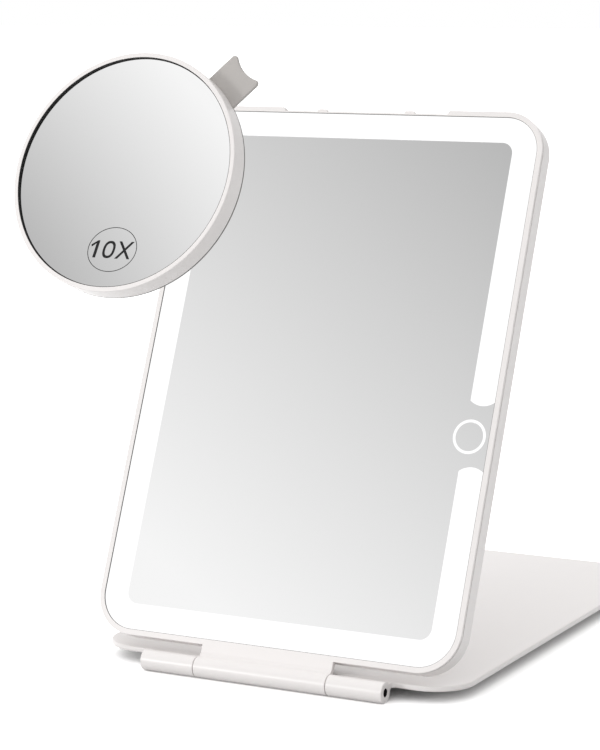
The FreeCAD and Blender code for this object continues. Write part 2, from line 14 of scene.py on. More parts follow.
import bmesh
import bpy
import numpy as np
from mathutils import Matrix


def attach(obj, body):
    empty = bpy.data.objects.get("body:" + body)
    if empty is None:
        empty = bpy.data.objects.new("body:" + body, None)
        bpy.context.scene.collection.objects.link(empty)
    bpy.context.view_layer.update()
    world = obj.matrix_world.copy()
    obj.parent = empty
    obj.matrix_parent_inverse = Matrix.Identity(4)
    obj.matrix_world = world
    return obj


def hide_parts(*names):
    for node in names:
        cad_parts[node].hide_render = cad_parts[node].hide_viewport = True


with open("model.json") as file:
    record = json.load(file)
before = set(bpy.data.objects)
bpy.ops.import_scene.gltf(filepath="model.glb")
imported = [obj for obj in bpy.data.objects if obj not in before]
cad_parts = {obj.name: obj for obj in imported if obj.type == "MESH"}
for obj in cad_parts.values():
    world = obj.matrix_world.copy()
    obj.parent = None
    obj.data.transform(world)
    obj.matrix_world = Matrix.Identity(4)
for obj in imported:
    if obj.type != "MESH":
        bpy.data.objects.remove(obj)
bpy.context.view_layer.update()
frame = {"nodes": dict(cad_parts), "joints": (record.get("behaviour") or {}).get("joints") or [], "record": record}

log = logging.getLogger("travel_mirror")

Array = np.ndarray
Triple = tuple[float, float, float]
Feed = bpy.types.NodeSocket | float | Sequence[float]

MILLIMETRE = 0.001
MERGE_DISTANCE = 2e-7
SHARP_ANGLE = math.radians(35)
ARC_STEP = math.radians(5)
ARC_LEAST_STEPS = 2
QUARTER_TURN = math.pi / 2
ROUND_COLUMNS = 216
OVAL_COLUMNS = 108
HOLE_COLUMNS = 72
POST_COLUMNS = 36
OVERRUN = 1.0
SIDES = (-1, 1)
PANEL_LEAN = 22.5
LEVEL_LEAN = 90.0
OPAQUE = 1.0
WHITE = (1.0, 1.0, 1.0, OPAQUE)
# A mix node's inputs for its share and for its two numbers.
MIX_INPUTS = (0, 2, 3)


class Body(Enum):
    """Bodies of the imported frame."""

    STAND = "stand"
    PANEL = "mirror_panel"
    MAGNIFIER = "magnifier"


class Joining(Enum):
    """How one solid is combined with another."""

    ADD = "UNION"
    CUT = "DIFFERENCE"


class Slot(Enum):
    """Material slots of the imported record."""

    WHITE_SHELL = "white_shell"
    COVER_LINER = "cover_liner"
    MIRROR = "mirror"
    SOFT_GREY = "soft_grey"
    DARK_SEAL = "dark_seal"
    CLEAR_GUIDE = "clear_guide"
    WHITE_INNER = "white_inner"
    LAMP = "lamp"
    STEEL = "steel"
    MAGNET = "magnet"
    BOARD = "board"
    BLACK_PART = "black_part"
    CELL = "cell"
    LEAD = "lead"
    FILM = "film"
    BUSH = "bush"


@dataclass(frozen=True)
class Placement:
    """A local frame in millimetres: across, up the leaning plane, and out of its front.

    Attributes:
        origin: the local origin in the row frame, in metres.
        lean: how far the plane leans back from upright, in degrees; 90 lies flat.
    """

    origin: Triple
    lean: float

    @property
    def axes(self) -> Array:
        """Across, up and out as unit rows in the row frame."""
        sine, cosine = math.sin(math.radians(self.lean)), math.cos(math.radians(self.lean))
        return np.array([(1.0, 0.0, 0.0), (0.0, sine, cosine), (0.0, -cosine, sine)])

    def place(self, points: Array) -> Array:
        """Local millimetres to row metres: origin plus each coordinate along its axis."""
        return np.asarray(self.origin) + points @ self.axes * MILLIMETRE

    def moved(self, step: Sequence[float]) -> "Placement":
        """The same axes with the origin moved by a step in local millimetres."""
        return Placement(tuple(self.place(np.asarray(step, float))), self.lean)

    def extent(self, node: str) -> tuple[Array, Array]:
        """Lowest and highest local corner of a CAD node.

        Args:
            node: name of the CAD node.

        Returns:
            The two corners, in local millimetres.
        """
        vertices = frame["nodes"][node].data.vertices
        flat = np.empty(len(vertices) * 3, np.float32)
        vertices.foreach_get("co", flat)
        local = (flat.reshape(-1, 3) - np.asarray(self.origin)) @ self.axes.T / MILLIMETRE
        return local.min(axis=0), local.max(axis=0)


def unit(vectors: Array) -> Array:
    """Vectors scaled to length one along the last axis."""
    return vectors / np.linalg.norm(vectors, axis=-1, keepdims=True)


def circle(columns: int) -> Array:
    """Points of the unit circle: cosine and sine of evenly spaced angles."""
    angles = np.linspace(0.0, 2 * math.pi, columns, endpoint=False)
    return np.stack([np.cos(angles), np.sin(angles)], axis=-1)


def arc(centre: Sequence[float], radius: float, start: float, turn: float) -> Array:
    """Points of an arc: centre plus radius times the cosine and sine of evenly spaced angles.

    Args:
        centre: the arc's middle.
        radius: its radius.
        start: angle of its first point, in radians.
        turn: signed angle that it covers.

    Returns:
        Points, one row each.
    """
    steps = max(ARC_LEAST_STEPS, round(abs(turn) / ARC_STEP))
    angles = start + turn * np.linspace(0.0, 1.0, steps + 1)
    return np.asarray(centre) + radius * np.stack([np.cos(angles), np.sin(angles)], axis=-1)


def alike(places: Sequence[Sequence[float]], radius: float = 0.0) -> list[Triple]:
    """Corners at some places that are all rounded by one radius."""
    return [(x, y, radius) for x, y in places]


def rounded(corners: Sequence[Triple], closed: bool = True) -> Array:
    """Line through corners that are each rounded by an arc.

    An arc of radius r touches both sides at r over the tangent of half the corner's angle. A radius of
    zero keeps the corner, as an open line does at its two ends.

    Args:
        corners: (x, y, radius) of each corner.
        closed: whether the last corner joins the first.

    Returns:
        Points of the line, with no point twice.
    """
    places = np.array([corner[:2] for corner in corners], float)
    stretches = []
    for index, (x, y, radius) in enumerate(corners):
        here = np.array([x, y])
        if radius == 0:
            stretches.append(here[None])
            continue
        back = unit(places[index - 1] - here)
        ahead = unit(places[(index + 1) % len(places)] - here)
        half = math.acos(np.clip(back @ ahead, -1.0, 1.0)) / 2
        middle = here + unit(back + ahead) * radius / math.sin(half)
        first = here + back * radius / math.tan(half) - middle
        last = here + ahead * radius / math.tan(half) - middle
        turn = math.atan2(first[0] * last[1] - first[1] * last[0], first @ last)
        stretches.append(arc(middle, radius, math.atan2(first[1], first[0]), turn))
    points = np.concatenate(stretches)
    step = np.linalg.norm(points - np.roll(points, 1, axis=0), axis=1)
    fresh = step > MERGE_DISTANCE / MILLIMETRE
    fresh[0] |= not closed
    return points[fresh]


def rectangle(low: Sequence[float], high: Sequence[float], radius: float = 0.0) -> Array:
    """Closed outline of a rectangle between two corners, its corners rounded alike."""
    (left, bottom), (right, top) = low, high
    return rounded(alike([(left, bottom), (right, bottom), (right, top), (left, top)], radius))


def moved_in(loop: Array, distance: Array) -> Array:
    """Parallel loops inside a counter-clockwise loop.

    Each point moves along its mitre, which is the sum of the two side normals over one plus their dot
    product, times the distance.

    Args:
        loop: points of the closed loop.
        distance: how far each parallel loop lies inside it.

    Returns:
        Points with the axes of distance first, then those of the loop.
    """
    ahead = unit(np.roll(loop, -1, axis=0) - loop)
    normal = np.stack([-ahead[:, 1], ahead[:, 0]], axis=-1)
    before = np.roll(normal, 1, axis=0)
    mitre = (normal + before) / (1.0 + (normal * before).sum(axis=-1, keepdims=True))
    return loop + np.multiply.outer(np.asarray(distance), mitre)


def edge_profile(low: float, high: float, low_round: float = 0.0, high_round: float = 0.0) -> Array:
    """Edge of a slab as (inset, height), from its lower face to its upper one, with both edges rounded."""
    return rounded([(low_round, low, 0.0), (0.0, low, low_round), (0.0, high, high_round),
                    (high_round, high, 0.0)], closed=False)


def lifted(flat: Array, height: Array) -> Array:
    """Flat rows of points, each row given its own height as third coordinate."""
    rise = np.broadcast_to(np.asarray(height)[:, None, None], flat.shape[:2] + (1,))
    return np.concatenate([flat, rise], axis=-1)


def swept(loop: Array, profile: Array) -> Array:
    """Grid of a profile of (inset, height) carried round a closed loop."""
    return lifted(moved_in(loop, profile[:, 0]), profile[:, 1])


def turned(profile: Array, columns: int = ROUND_COLUMNS) -> Array:
    """Grid of a profile of (radius, height) turned about the local third axis."""
    return lifted(profile[:, :1, None] * circle(columns), profile[:, 1])


def along_hinge(grid: Array) -> Array:
    """A grid whose third axis was the length, laid so that its length runs across the object."""
    return np.roll(grid, 1, axis=-1)


class Skin:
    """Patches of one piece's surface in local millimetres, which together close it."""

    def __init__(self) -> None:
        """Starts with no patch."""
        self.points: list[Array] = []
        self.faces: list[list[int]] = []
        self.count = 0

    def patch(self, points: Array, faces: list[list[int]]) -> "Skin":
        """Adds one patch.

        Args:
            points: its points.
            faces: its faces, which count from the first of these points.

        Returns:
            This skin.
        """
        self.points.append(points)
        self.faces.extend([index + self.count for index in face] for face in faces)
        self.count += len(points)
        return self

    def grid(self, points: Array, wrap_rows: bool = False, wrap_columns: bool = False) -> "Skin":
        """Adds a grid of points as quads between neighbouring rows and columns.

        Args:
            points: rows by columns of points.
            wrap_rows: whether the last row joins the first.
            wrap_columns: whether the last column joins the first.

        Returns:
            This skin.
        """
        rows, columns = points.shape[:2]
        index = np.arange(rows * columns).reshape(rows, columns)
        if wrap_rows:
            index = np.concatenate([index, index[:1]], axis=0)
        if wrap_columns:
            index = np.concatenate([index, index[:, :1]], axis=1)
        quads = np.stack([index[:-1, :-1], index[1:, :-1], index[1:, 1:], index[:-1, 1:]], axis=-1)
        return self.patch(points.reshape(-1, 3), quads.reshape(-1, 4).tolist())

    def cap(self, loop: Array) -> "Skin":
        """Adds one flat face inside a closed loop."""
        return self.patch(loop, [list(range(len(loop)))])

    def ring(self, points: Array) -> "Skin":
        """Adds a closed profile that was carried round a closed path."""
        return self.grid(points, wrap_rows=True, wrap_columns=True)

    def solid(self, points: Array) -> "Skin":
        """Adds an open profile that was carried round a closed path, and closes both its ends."""
        return self.grid(points, wrap_columns=True).cap(points[0]).cap(points[-1])

    def slab(self, top: Array, step: Sequence[float]) -> "Skin":
        """Adds an open grid, its moved copy, and the four walls between their edges.

        Args:
            top: rows by columns of points.
            step: how far the copy is moved.

        Returns:
            This skin.
        """
        bottom = top + np.asarray(step)
        self.grid(top).grid(bottom)
        for edge in (np.s_[0], np.s_[-1], np.s_[:, 0], np.s_[:, -1]):
            self.grid(np.stack([top[edge], bottom[edge]]))
        return self

    def piece(self, name: str, place: Placement) -> bpy.types.Object:
        """Makes the gathered patches one object.

        Args:
            name: the object's name.
            place: the local frame that the patches are in.

        Returns:
            The object, at the origin, with its place in its mesh.
        """
        mesh = bpy.data.meshes.new(name)
        mesh.from_pydata(place.place(np.concatenate(self.points)), [], self.faces)
        made = bpy.data.objects.new(name, mesh)
        bpy.context.scene.collection.objects.link(made)
        closed_surface(mesh)
        return made


def bore(half: list[tuple[float, float]]) -> Skin:
    """Round hole along the hinge, alike on both sides, from (radius, distance) of its half profile."""
    line = [(radius, -along) for radius, along in half[::-1]] + half
    return Skin().solid(along_hinge(turned(np.array(line), HOLE_COLUMNS)))


def closed_surface(mesh: bpy.types.Mesh) -> None:
    """Merges doubled points, turns all faces outwards and shades them smooth up to a sharp angle.

    Args:
        mesh: the mesh that is changed.
    """
    work = bmesh.new()
    work.from_mesh(mesh)
    bmesh.ops.remove_doubles(work, verts=work.verts, dist=MERGE_DISTANCE)
    bmesh.ops.dissolve_degenerate(work, edges=work.edges, dist=MERGE_DISTANCE)
    bmesh.ops.recalc_face_normals(work, faces=work.faces)
    work.to_mesh(mesh)
    work.free()
    mesh.shade_smooth()
    mesh.set_sharp_from_angle(angle=SHARP_ANGLE)


def combine(base: bpy.types.Object, tools: Sequence[bpy.types.Object], how: Joining) -> None:
    """Adds solids to a piece or cuts them out of it, and removes them.

    Args:
        base: the piece that is changed.
        tools: the solids.
        how: whether they are added or cut out.
    """
    for tool in tools:
        step = base.modifiers.new(tool.name, "BOOLEAN")
        step.operation = how.value
        step.solver = "EXACT"
        step.object = tool
    bpy.context.view_layer.update()
    before = base.data
    name = before.name
    shape = bpy.data.meshes.new_from_object(base.evaluated_get(bpy.context.evaluated_depsgraph_get()))
    base.modifiers.clear()
    base.data = shape
    bpy.data.meshes.remove(before)
    shape.name = name
    for tool in tools:
        bpy.data.meshes.remove(tool.data)
    closed_surface(shape)


def feed(tree: bpy.types.NodeTree, node: bpy.types.Node, inputs: dict[int | str, Feed]) -> None:
    """Gives a node its inputs.

    Args:
        tree: the tree that holds the node.
        node: the node.
        inputs: for each input, by name or place, the socket that feeds it or its fixed value.
    """
    for key, value in inputs.items():
        if isinstance(value, bpy.types.NodeSocket):
            tree.links.new(value, node.inputs[key])
        else:
            node.inputs[key].default_value = value


def wired(tree: bpy.types.NodeTree, kind: str, inputs: dict[int | str, Feed] | None = None,
          **settings: object) -> bpy.types.bpy_prop_collection:
    """Adds a node.

    Args:
        tree: the tree that it is added to.
        kind: the node's type.
        inputs: its inputs, as feed takes them.
        settings: settings of the node itself.

    Returns:
        The node's outputs.
    """
    node = tree.nodes.new(kind)
    for name, value in settings.items():
        setattr(node, name, value)
    feed(tree, node, inputs or {})
    return node.outputs


def calculated(tree: bpy.types.NodeTree, operation: str, *terms: Feed) -> bpy.types.NodeSocket:
    """Output of a math node whose operation works on the terms in order."""
    return wired(tree, "ShaderNodeMath", dict(enumerate(terms)), operation=operation)[0]


def blend(tree: bpy.types.NodeTree, share: Feed, first: Feed, second: Feed) -> bpy.types.NodeSocket:
    """Output of a mix node: the first number at a share of zero, the second at a share of one."""
    inputs = dict(zip(MIX_INPUTS, (share, first, second)))
    return wired(tree, "ShaderNodeMix", inputs, data_type="FLOAT")[0]


class GrainGroup:
    """Node group that every finish shares: fine relief, uneven colour and uneven gloss."""

    NAME = "surface_grain"
    INPUTS = {"Tint": "Color", "Rough": "Float", "Scale": "Float", "Stretch": "Vector", "Cells": "Float",
              "Mottle": "Float", "Spread": "Float"}
    OUTPUTS = {"Color": "Color", "Roughness": "Float", "Height": "Float"}
    MOTTLE_RATIO = 0.03
    GRAIN_DETAIL = 3.0

    @classmethod
    def tree(cls) -> bpy.types.NodeTree:
        """The group, made on first use.

        Height is a noise whose Cells share comes from rounded cells instead. Color is Tint times one plus
        Mottle times a broader noise from minus one to one, and Roughness is Rough plus Spread times that.

        Returns:
            The node group.
        """
        found = bpy.data.node_groups.get(cls.NAME)
        if found:
            return found
        group = bpy.data.node_groups.new(cls.NAME, "ShaderNodeTree")
        for way, sockets in (("INPUT", cls.INPUTS), ("OUTPUT", cls.OUTPUTS)):
            for name, kind in sockets.items():
                group.interface.new_socket(name=name, in_out=way, socket_type="NodeSocket" + kind)
        given = wired(group, "NodeGroupInput")
        place = wired(group, "ShaderNodeTexCoord")["Object"]
        stretched = {0: place, 1: given["Stretch"]}
        place = wired(group, "ShaderNodeVectorMath", stretched, operation="MULTIPLY")[0]
        fine = {"Vector": place, "Scale": given["Scale"]}
        grain = wired(group, "ShaderNodeTexNoise", fine | {"Detail": cls.GRAIN_DETAIL})[0]
        cells = wired(group, "ShaderNodeTexVoronoi", fine, feature="SMOOTH_F1")["Distance"]
        height = blend(group, given["Cells"], grain, cells)
        broad = calculated(group, "MULTIPLY", given["Scale"], cls.MOTTLE_RATIO)
        cloud = wired(group, "ShaderNodeTexNoise", {"Vector": place, "Scale": broad})[0]
        uneven = wired(group, "ShaderNodeMapRange", {"Value": cloud, "To Min": -1.0})[0]
        shade = calculated(group, "MULTIPLY_ADD", uneven, given["Mottle"], 1.0)
        shaded = {0: given["Tint"], "Scale": shade}
        tint = wired(group, "ShaderNodeVectorMath", shaded, operation="SCALE")[0]
        gloss = calculated(group, "MULTIPLY_ADD", uneven, given["Spread"], given["Rough"])
        wired(group, "NodeGroupOutput", {"Color": tint, "Roughness": gloss, "Height": height})
        return group


@dataclass(frozen=True)
class Finish:
    """One finish: the values that its material gives to the shader and to the grain group.

    Attributes:
        name: the material's name.
        tint: linear colour.
        rough: middle roughness.
        metallic: share of metal.
        grain: size of the relief's grain, in millimetres.
        relief: height of the grain, in millimetres.
        mottle: how far the colour varies, as a share.
        spread: how far the roughness varies.
        stretch: how the pattern is scaled along the three row axes.
        cells: share of the relief that is rounded cells.
        glow: strength of the light that the surface gives off, in its tint.
        unlit: colour of a glowing surface's own body.
        coat: weight of a clear coat.
        specular: level of the plain surface's own shine.
    """

    name: str
    tint: Triple
    rough: float
    metallic: float = 0.0
    grain: float = 0.5
    relief: float = 0.004
    mottle: float = 0.015
    spread: float = 0.03
    stretch: Triple = (1.0, 1.0, 1.0)
    cells: float = 0.0
    glow: float = 0.0
    unlit: Triple = (0.03, 0.03, 0.03)
    coat: float = 0.0
    specular: float = 0.5

    def material(self) -> bpy.types.Material:
        """The finish as a material, made on first use: grain group into one principled shader.

        Returns:
            The material.
        """
        found = bpy.data.materials.get(self.name)
        if found:
            return found
        made = bpy.data.materials.new(self.name)
        made.use_nodes = True
        tree = made.node_tree
        grain = wired(tree, "ShaderNodeGroup", {
            "Tint": (*self.tint, OPAQUE), "Rough": self.rough, "Scale": 1.0 / (self.grain * MILLIMETRE),
            "Stretch": self.stretch, "Cells": self.cells, "Mottle": self.mottle, "Spread": self.spread,
        }, node_tree=GrainGroup.tree())
        relief = {"Distance": self.relief * MILLIMETRE, "Height": grain["Height"]}
        bump = wired(tree, "ShaderNodeBump", relief)
        color = {"Base Color": grain["Color"]}
        if self.glow:
            color = {"Base Color": (*self.unlit, OPAQUE), "Emission Color": grain["Color"],
                     "Emission Strength": self.glow}
        feed(tree, tree.nodes["Principled BSDF"], color | {
            "Roughness": grain["Roughness"], "Normal": bump["Normal"], "Metallic": self.metallic,
            "Coat Weight": self.coat, "Specular IOR Level": self.specular})
        return made


SLOT_FINISHES = {
    Slot.WHITE_SHELL: Finish("warm_white_shell", (0.87, 0.838, 0.826), 0.3, grain=0.35, relief=0.003,
                             mottle=0.008),
    Slot.COVER_LINER: Finish("matt_liner", (0.74, 0.73, 0.72), 0.8, grain=0.9, relief=0.05, cells=0.7,
                             mottle=0.03),
    Slot.MIRROR: Finish("silvered_mirror", (0.92, 0.92, 0.92), 0.02, metallic=1.0, grain=4.0, relief=0.0,
                        mottle=0.004, spread=0.006),
    Slot.SOFT_GREY: Finish("grey_silicone", (0.47, 0.447, 0.428), 0.52, grain=0.25, relief=0.012,
                           mottle=0.03, spread=0.06),
    Slot.DARK_SEAL: Finish("black_seal", (0.022, 0.022, 0.022), 0.7, grain=0.3, relief=0.01, mottle=0.06,
                           specular=0.1),
    Slot.CLEAR_GUIDE: Finish("milky_guide", (0.85, 0.87, 0.88), 0.25, grain=1.2, relief=0.02, coat=0.5),
    Slot.WHITE_INNER: Finish("matt_white_inner", (0.82, 0.82, 0.80), 0.6, grain=0.6, relief=0.01),
    Slot.LAMP: Finish("lamp_cover", (0.90, 0.80, 0.42), 0.35, grain=0.4, relief=0.01, mottle=0.05),
    Slot.STEEL: Finish("plain_steel", (0.56, 0.57, 0.58), 0.32, metallic=1.0, grain=0.25, relief=0.006,
                       mottle=0.05, spread=0.08, stretch=(0.04, 1.0, 1.0)),
    Slot.MAGNET: Finish("plated_magnet", (0.72, 0.71, 0.69), 0.22, metallic=1.0, grain=0.8, relief=0.006,
                        mottle=0.03, spread=0.06),
    Slot.BOARD: Finish("green_board", (0.02, 0.16, 0.08), 0.38, grain=1.6, relief=0.02, mottle=0.22,
                       spread=0.08, cells=0.8, coat=0.3),
    Slot.BLACK_PART: Finish("moulded_black", (0.018, 0.018, 0.02), 0.5, grain=0.3, relief=0.012, mottle=0.1),
    Slot.CELL: Finish("foil_pouch", (0.60, 0.61, 0.63), 0.36, metallic=0.9, grain=5.0, relief=0.12,
                      mottle=0.05, spread=0.08),
    Slot.LEAD: Finish("lead_cover", (0.42, 0.02, 0.018), 0.45, grain=0.3, relief=0.006, mottle=0.06),
    Slot.FILM: Finish("amber_film", (0.50, 0.20, 0.03), 0.3, grain=1.0, relief=0.006, mottle=0.08, coat=0.4),
    Slot.BUSH: Finish("plain_brass", (0.66, 0.47, 0.19), 0.3, metallic=1.0, grain=0.3, relief=0.006,
                      mottle=0.05, spread=0.08, stretch=(0.05, 1.0, 1.0)),
}
LIT_FROST = Finish("lit_frost", (1.0, 1.0, 1.0), 0.5, grain=2.0, relief=0.004, mottle=0.004, glow=1.0)
# Near-black steel on the pin and the sleeves in its hole: painted shade that stands in for the shade down the pin
# hole.
HOLE_SHADE_STEEL = Finish("blackened_steel_hole_shade", (0.012, 0.012, 0.013), 0.6, grain=0.25, relief=0.006, mottle=0.08,
                    spread=0.08, stretch=(0.04, 1.0, 1.0), specular=0.2)
# Near-black soft finish, used only as painted shade: on the bead in the gap round the pane and on the band at the
# magnifier ring's rear edge it stands in for the shade in those gaps.
SHADE_DARK_SILICONE = Finish("painted_shade_silicone", (0.1, 0.097, 0.094), 0.55, grain=0.25, relief=0.012, mottle=0.03,
                       spread=0.06)
NODE_FINISHES = {"hinge_pin": HOLE_SHADE_STEEL}
DARK_PRINT = Finish("dark_print", (0.02, 0.02, 0.021), 0.5, grain=0.2, relief=0.003, mottle=0.08,
                    specular=0.1)


def dress(thing: bpy.types.Object, finish: Finish) -> None:
    """Gives an object one finish in place of its own materials."""
    thing.data.materials.clear()
    thing.data.materials.append(finish.material())


def barrel_loop(radius: float, middle: float, low: float, high: float, reach: float,
                low_fillet: float, high_fillet: float) -> Array:
    """Outline of a barrel with a strap that leaves it, and hollow fillets between the two.

    A fillet of radius f beside a strap face at height h has its middle at height h plus f, as far along
    as puts it the barrel's radius plus f from the barrel's middle.

    Args:
        radius: the barrel's radius.
        middle: height of the barrel's middle; its place along the strap is zero.
        low: height of the strap's lower face.
        high: height of its upper face.
        reach: where the strap ends.
        low_fillet: radius of the fillet at the lower face.
        high_fillet: radius of the fillet at the upper face.

    Returns:
        Points of the counter-clockwise loop.
    """
    rise = high - middle + high_fillet
    drop = low - middle - low_fillet
    high_along = math.sqrt((radius + high_fillet) ** 2 - rise ** 2)
    low_along = math.sqrt((radius + low_fillet) ** 2 - drop ** 2)
    high_angle = math.atan2(rise, high_along)
    low_angle = math.atan2(drop, low_along)
    return np.concatenate([
        [(reach, high)],
        arc((high_along, middle + rise), high_fillet, -QUARTER_TURN, high_angle - QUARTER_TURN),
        arc((0.0, middle), radius, high_angle, 2 * math.pi + low_angle - high_angle)[1:],
        arc((low_along, middle + drop), low_fillet, math.pi + low_angle, -QUARTER_TURN - low_angle)[1:],
        [(reach, low)],
    ])


@dataclass
class Assembly:
    """A sub-assembly whose pieces ride on one body and are worked out in one local frame.

    Attributes:
        BODY: the body.
        place: the local frame.
    """

    BODY: ClassVar[Body]
    place: Placement

    def solid(self, name: str, loop: Array, profile: Array) -> bpy.types.Object:
        """Solid of an outline whose edge follows a profile of (inset, height)."""
        return Skin().solid(swept(loop, profile)).piece(name, self.place)

    def bar(self, name: str, loop: Array, profile: Array) -> bpy.types.Object:
        """Such a solid laid along the hinge, so that the profile's heights run across the object."""
        return Skin().solid(along_hinge(swept(loop, profile))).piece(name, self.place)

    def round_ring(self, name: str, corners: Sequence[Triple], middle: Triple = (0.0, 0.0, 0.0),
                   columns: int = ROUND_COLUMNS) -> bpy.types.Object:
        """Ring round a middle, with a section of (radius, height, rounding) corners."""
        return Skin().ring(turned(rounded(corners), columns)).piece(name, self.place.moved(middle))

    def settle(self, made: bpy.types.Object, slot: Slot, *nodes: str, finish: Finish | None = None) -> None:
        """Finishes one piece: its material, its normals, its body and the nodes it stands for.

        Args:
            made: the piece.
            slot: the record's slot that its finish comes from.
            nodes: CAD nodes that it replaces.
            finish: a finish other than the slot's own.
        """
        dress(made, finish or SLOT_FINISHES[slot])
        normals = made.modifiers.new("flat_faces_stay_flat", "WEIGHTED_NORMAL")
        normals.keep_sharp = True
        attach(made, self.BODY.value)
        if nodes:
            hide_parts(*nodes)
        log.info("%s: %d faces on %s", made.name, len(made.data.polygons), self.BODY.value)


@dataclass
class Stand(Assembly):
    """Cover plate with its outer knuckles and latch lip, and the liner in its underside."""

    BODY: ClassVar[Body] = Body.STAND
    corner: float = 17.7
    plate_front: float = 6.4
    plate_low: float = 0.4
    plate_high: float = 2.8
    top_round: float = 0.8
    low_round: float = 0.9
    barrel_radius: float = 4.3
    barrel_start: float = 30.35
    barrel_end: float = 55.0
    barrel_edge: float = 0.35
    web_start: float = 1.5
    web_fillet: float = 1.6
    web_inner_fillet: float = 0.5
    strap_fillet: float = 1.4
    hole_radius: float = 1.8
    # Wall and sink of the dark sleeves that paint the shade down the pin hole.
    hole_flare: float = 0.06
    shade_sleeve_wall: float = 0.17
    shade_sleeve_sink: float = 0.12
    recess_inset: float = 3.2
    recess_depth: float = 0.75
    keeper_length: float = 14.0
    keeper_width: float = 6.0
    pocket_depth: float = 0.75
    pocket_gap: float = 0.1
    liner_inset: float = 3.3
    liner_thickness: float = 0.7
    liner_edge: float = 0.15
    lip_half: float = 38.05
    lip_front: float = 241.35
    lip_rear: float = 244.2
    lip_root: float = 1.6
    lip_round: float = 0.9
    lip_end_round: float = 0.6
    slot_half: float = 2.75
    slot_middle: float = 20.5
    slot_rear: float = 242.55
    slot_high: float = 0.05

    def __post_init__(self) -> None:
        """Takes the plate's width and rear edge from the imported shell."""
        _, high = self.place.extent("stand_shell")
        self.half, self.rear = float(high[0]), float(high[1])

    def plate_loop(self) -> Array:
        """Plate outline from above, with a web in front of each knuckle that ends inside its barrel.

        Returns:
            Points of the counter-clockwise loop.
        """
        sides = [(self.half, self.plate_front), (self.half, self.rear),
                 (-self.half, self.rear), (-self.half, self.plate_front)]
        web = [(self.barrel_start, self.plate_front, self.web_inner_fillet),
               (self.barrel_start, self.web_start, 0.0), (self.barrel_end, self.web_start, 0.0),
               (self.barrel_end, self.plate_front, self.web_fillet)]
        left_web = [(-x, y, radius) for x, y, radius in web[::-1]]
        return rounded(alike(sides, self.corner) + left_web + web)

    def inner_loop(self, inset: float) -> Array:
        """Plate outline without the webs, moved in."""
        return rectangle((-self.half + inset, self.plate_front + inset),
                         (self.half - inset, self.rear - inset), self.corner - inset)

    def barrel(self, side: int) -> bpy.types.Object:
        """One outer knuckle: a barrel with rounded ends and the fillets that join it to the web.

        Args:
            side: minus one for the left knuckle, one for the right.

        Returns:
            The solid.
        """
        ends = sorted((side * self.barrel_start, side * self.barrel_end))
        loop = barrel_loop(self.barrel_radius, 0.0, self.plate_low, self.plate_high, self.plate_front,
                           self.strap_fillet, self.strap_fillet)
        return self.bar("knuckle", loop, edge_profile(*ends, self.barrel_edge, self.barrel_edge))

    def lip(self) -> bpy.types.Object:
        """Latch lip under the free edge, rounded below, with a slot for each nub of the panel.

        Returns:
            The solid.
        """
        bottom = -self.barrel_radius
        section = rounded([(self.lip_front, bottom, self.lip_round), (self.lip_rear, bottom, self.lip_round),
                           (self.lip_rear, self.lip_root, 0.0), (self.lip_front, self.lip_root, 0.0)])
        ends = edge_profile(-self.lip_half, self.lip_half, self.lip_end_round, self.lip_end_round)
        made = self.bar("lip", section, ends)
        span = edge_profile(bottom - OVERRUN, self.slot_high)
        loops = [rectangle((middle - self.slot_half, self.lip_front - OVERRUN),
                           (middle + self.slot_half, self.slot_rear))
                 for middle in (-self.slot_middle, self.slot_middle)]
        combine(made, [self.solid("slot", loop, span) for loop in loops], Joining.CUT)
        return made

    def pin_hole(self) -> bpy.types.Object:
        """Hole through both knuckles, a little wider at its ends.

        Returns:
            The solid that is cut out.
        """
        wide = self.hole_radius + self.hole_flare
        half = [(self.hole_radius, self.barrel_end - self.hole_flare), (wide, self.barrel_end),
                (wide, self.barrel_end + OVERRUN)]
        return bore(half).piece("hole", self.place)

    def build_hole_shade_sleeves(self) -> None:
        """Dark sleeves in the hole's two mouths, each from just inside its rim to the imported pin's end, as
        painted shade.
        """
        pin_end = float(self.place.extent("hinge_pin")[1][0])
        mouth = self.barrel_end - self.shade_sleeve_sink
        inner = self.hole_radius - self.shade_sleeve_wall
        sleeves = Skin()
        for side in SIDES:
            line = np.array([(inner, side * pin_end), (self.hole_radius, side * pin_end),
                             (self.hole_radius, side * mouth), (inner, side * mouth)])
            sleeves.ring(along_hinge(turned(line, HOLE_COLUMNS)))
        self.settle(sleeves.piece("pin_hole_shade_sleeves", self.place), Slot.STEEL, finish=HOLE_SHADE_STEEL)

    def keeper_pockets(self) -> list[bpy.types.Object]:
        """Pockets in the recess for the two keepers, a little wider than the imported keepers.

        Returns:
            The solids that are cut out.
        """
        low, high = self.place.extent("closing_keepers")
        length = (high[1] - low[1]) * self.keeper_length / self.keeper_width
        floor = self.plate_low + self.liner_thickness
        span = edge_profile(floor, floor + self.pocket_depth)
        gap = self.pocket_gap
        loops = [rectangle((start - gap, low[1] - gap), (start + length + gap, high[1] + gap))
                 for start in (low[0], high[0] - length)]
        return [self.solid("pocket", loop, span) for loop in loops]

    def build_shell(self) -> None:
        """Plate, knuckles and lip in one moulding."""
        edge = edge_profile(self.plate_low, self.plate_high, self.low_round, self.top_round)
        made = self.solid("cover_shell", self.plate_loop(), edge)
        span = edge_profile(self.plate_low - OVERRUN, self.plate_low + self.recess_depth)
        recess = self.solid("recess", self.inner_loop(self.recess_inset), span)
        combine(made, [recess, *self.keeper_pockets()], Joining.CUT)
        combine(made, [*map(self.barrel, SIDES), self.lip()], Joining.ADD)
        combine(made, [self.pin_hole()], Joining.CUT)
        self.settle(made, Slot.WHITE_SHELL, "stand_shell")

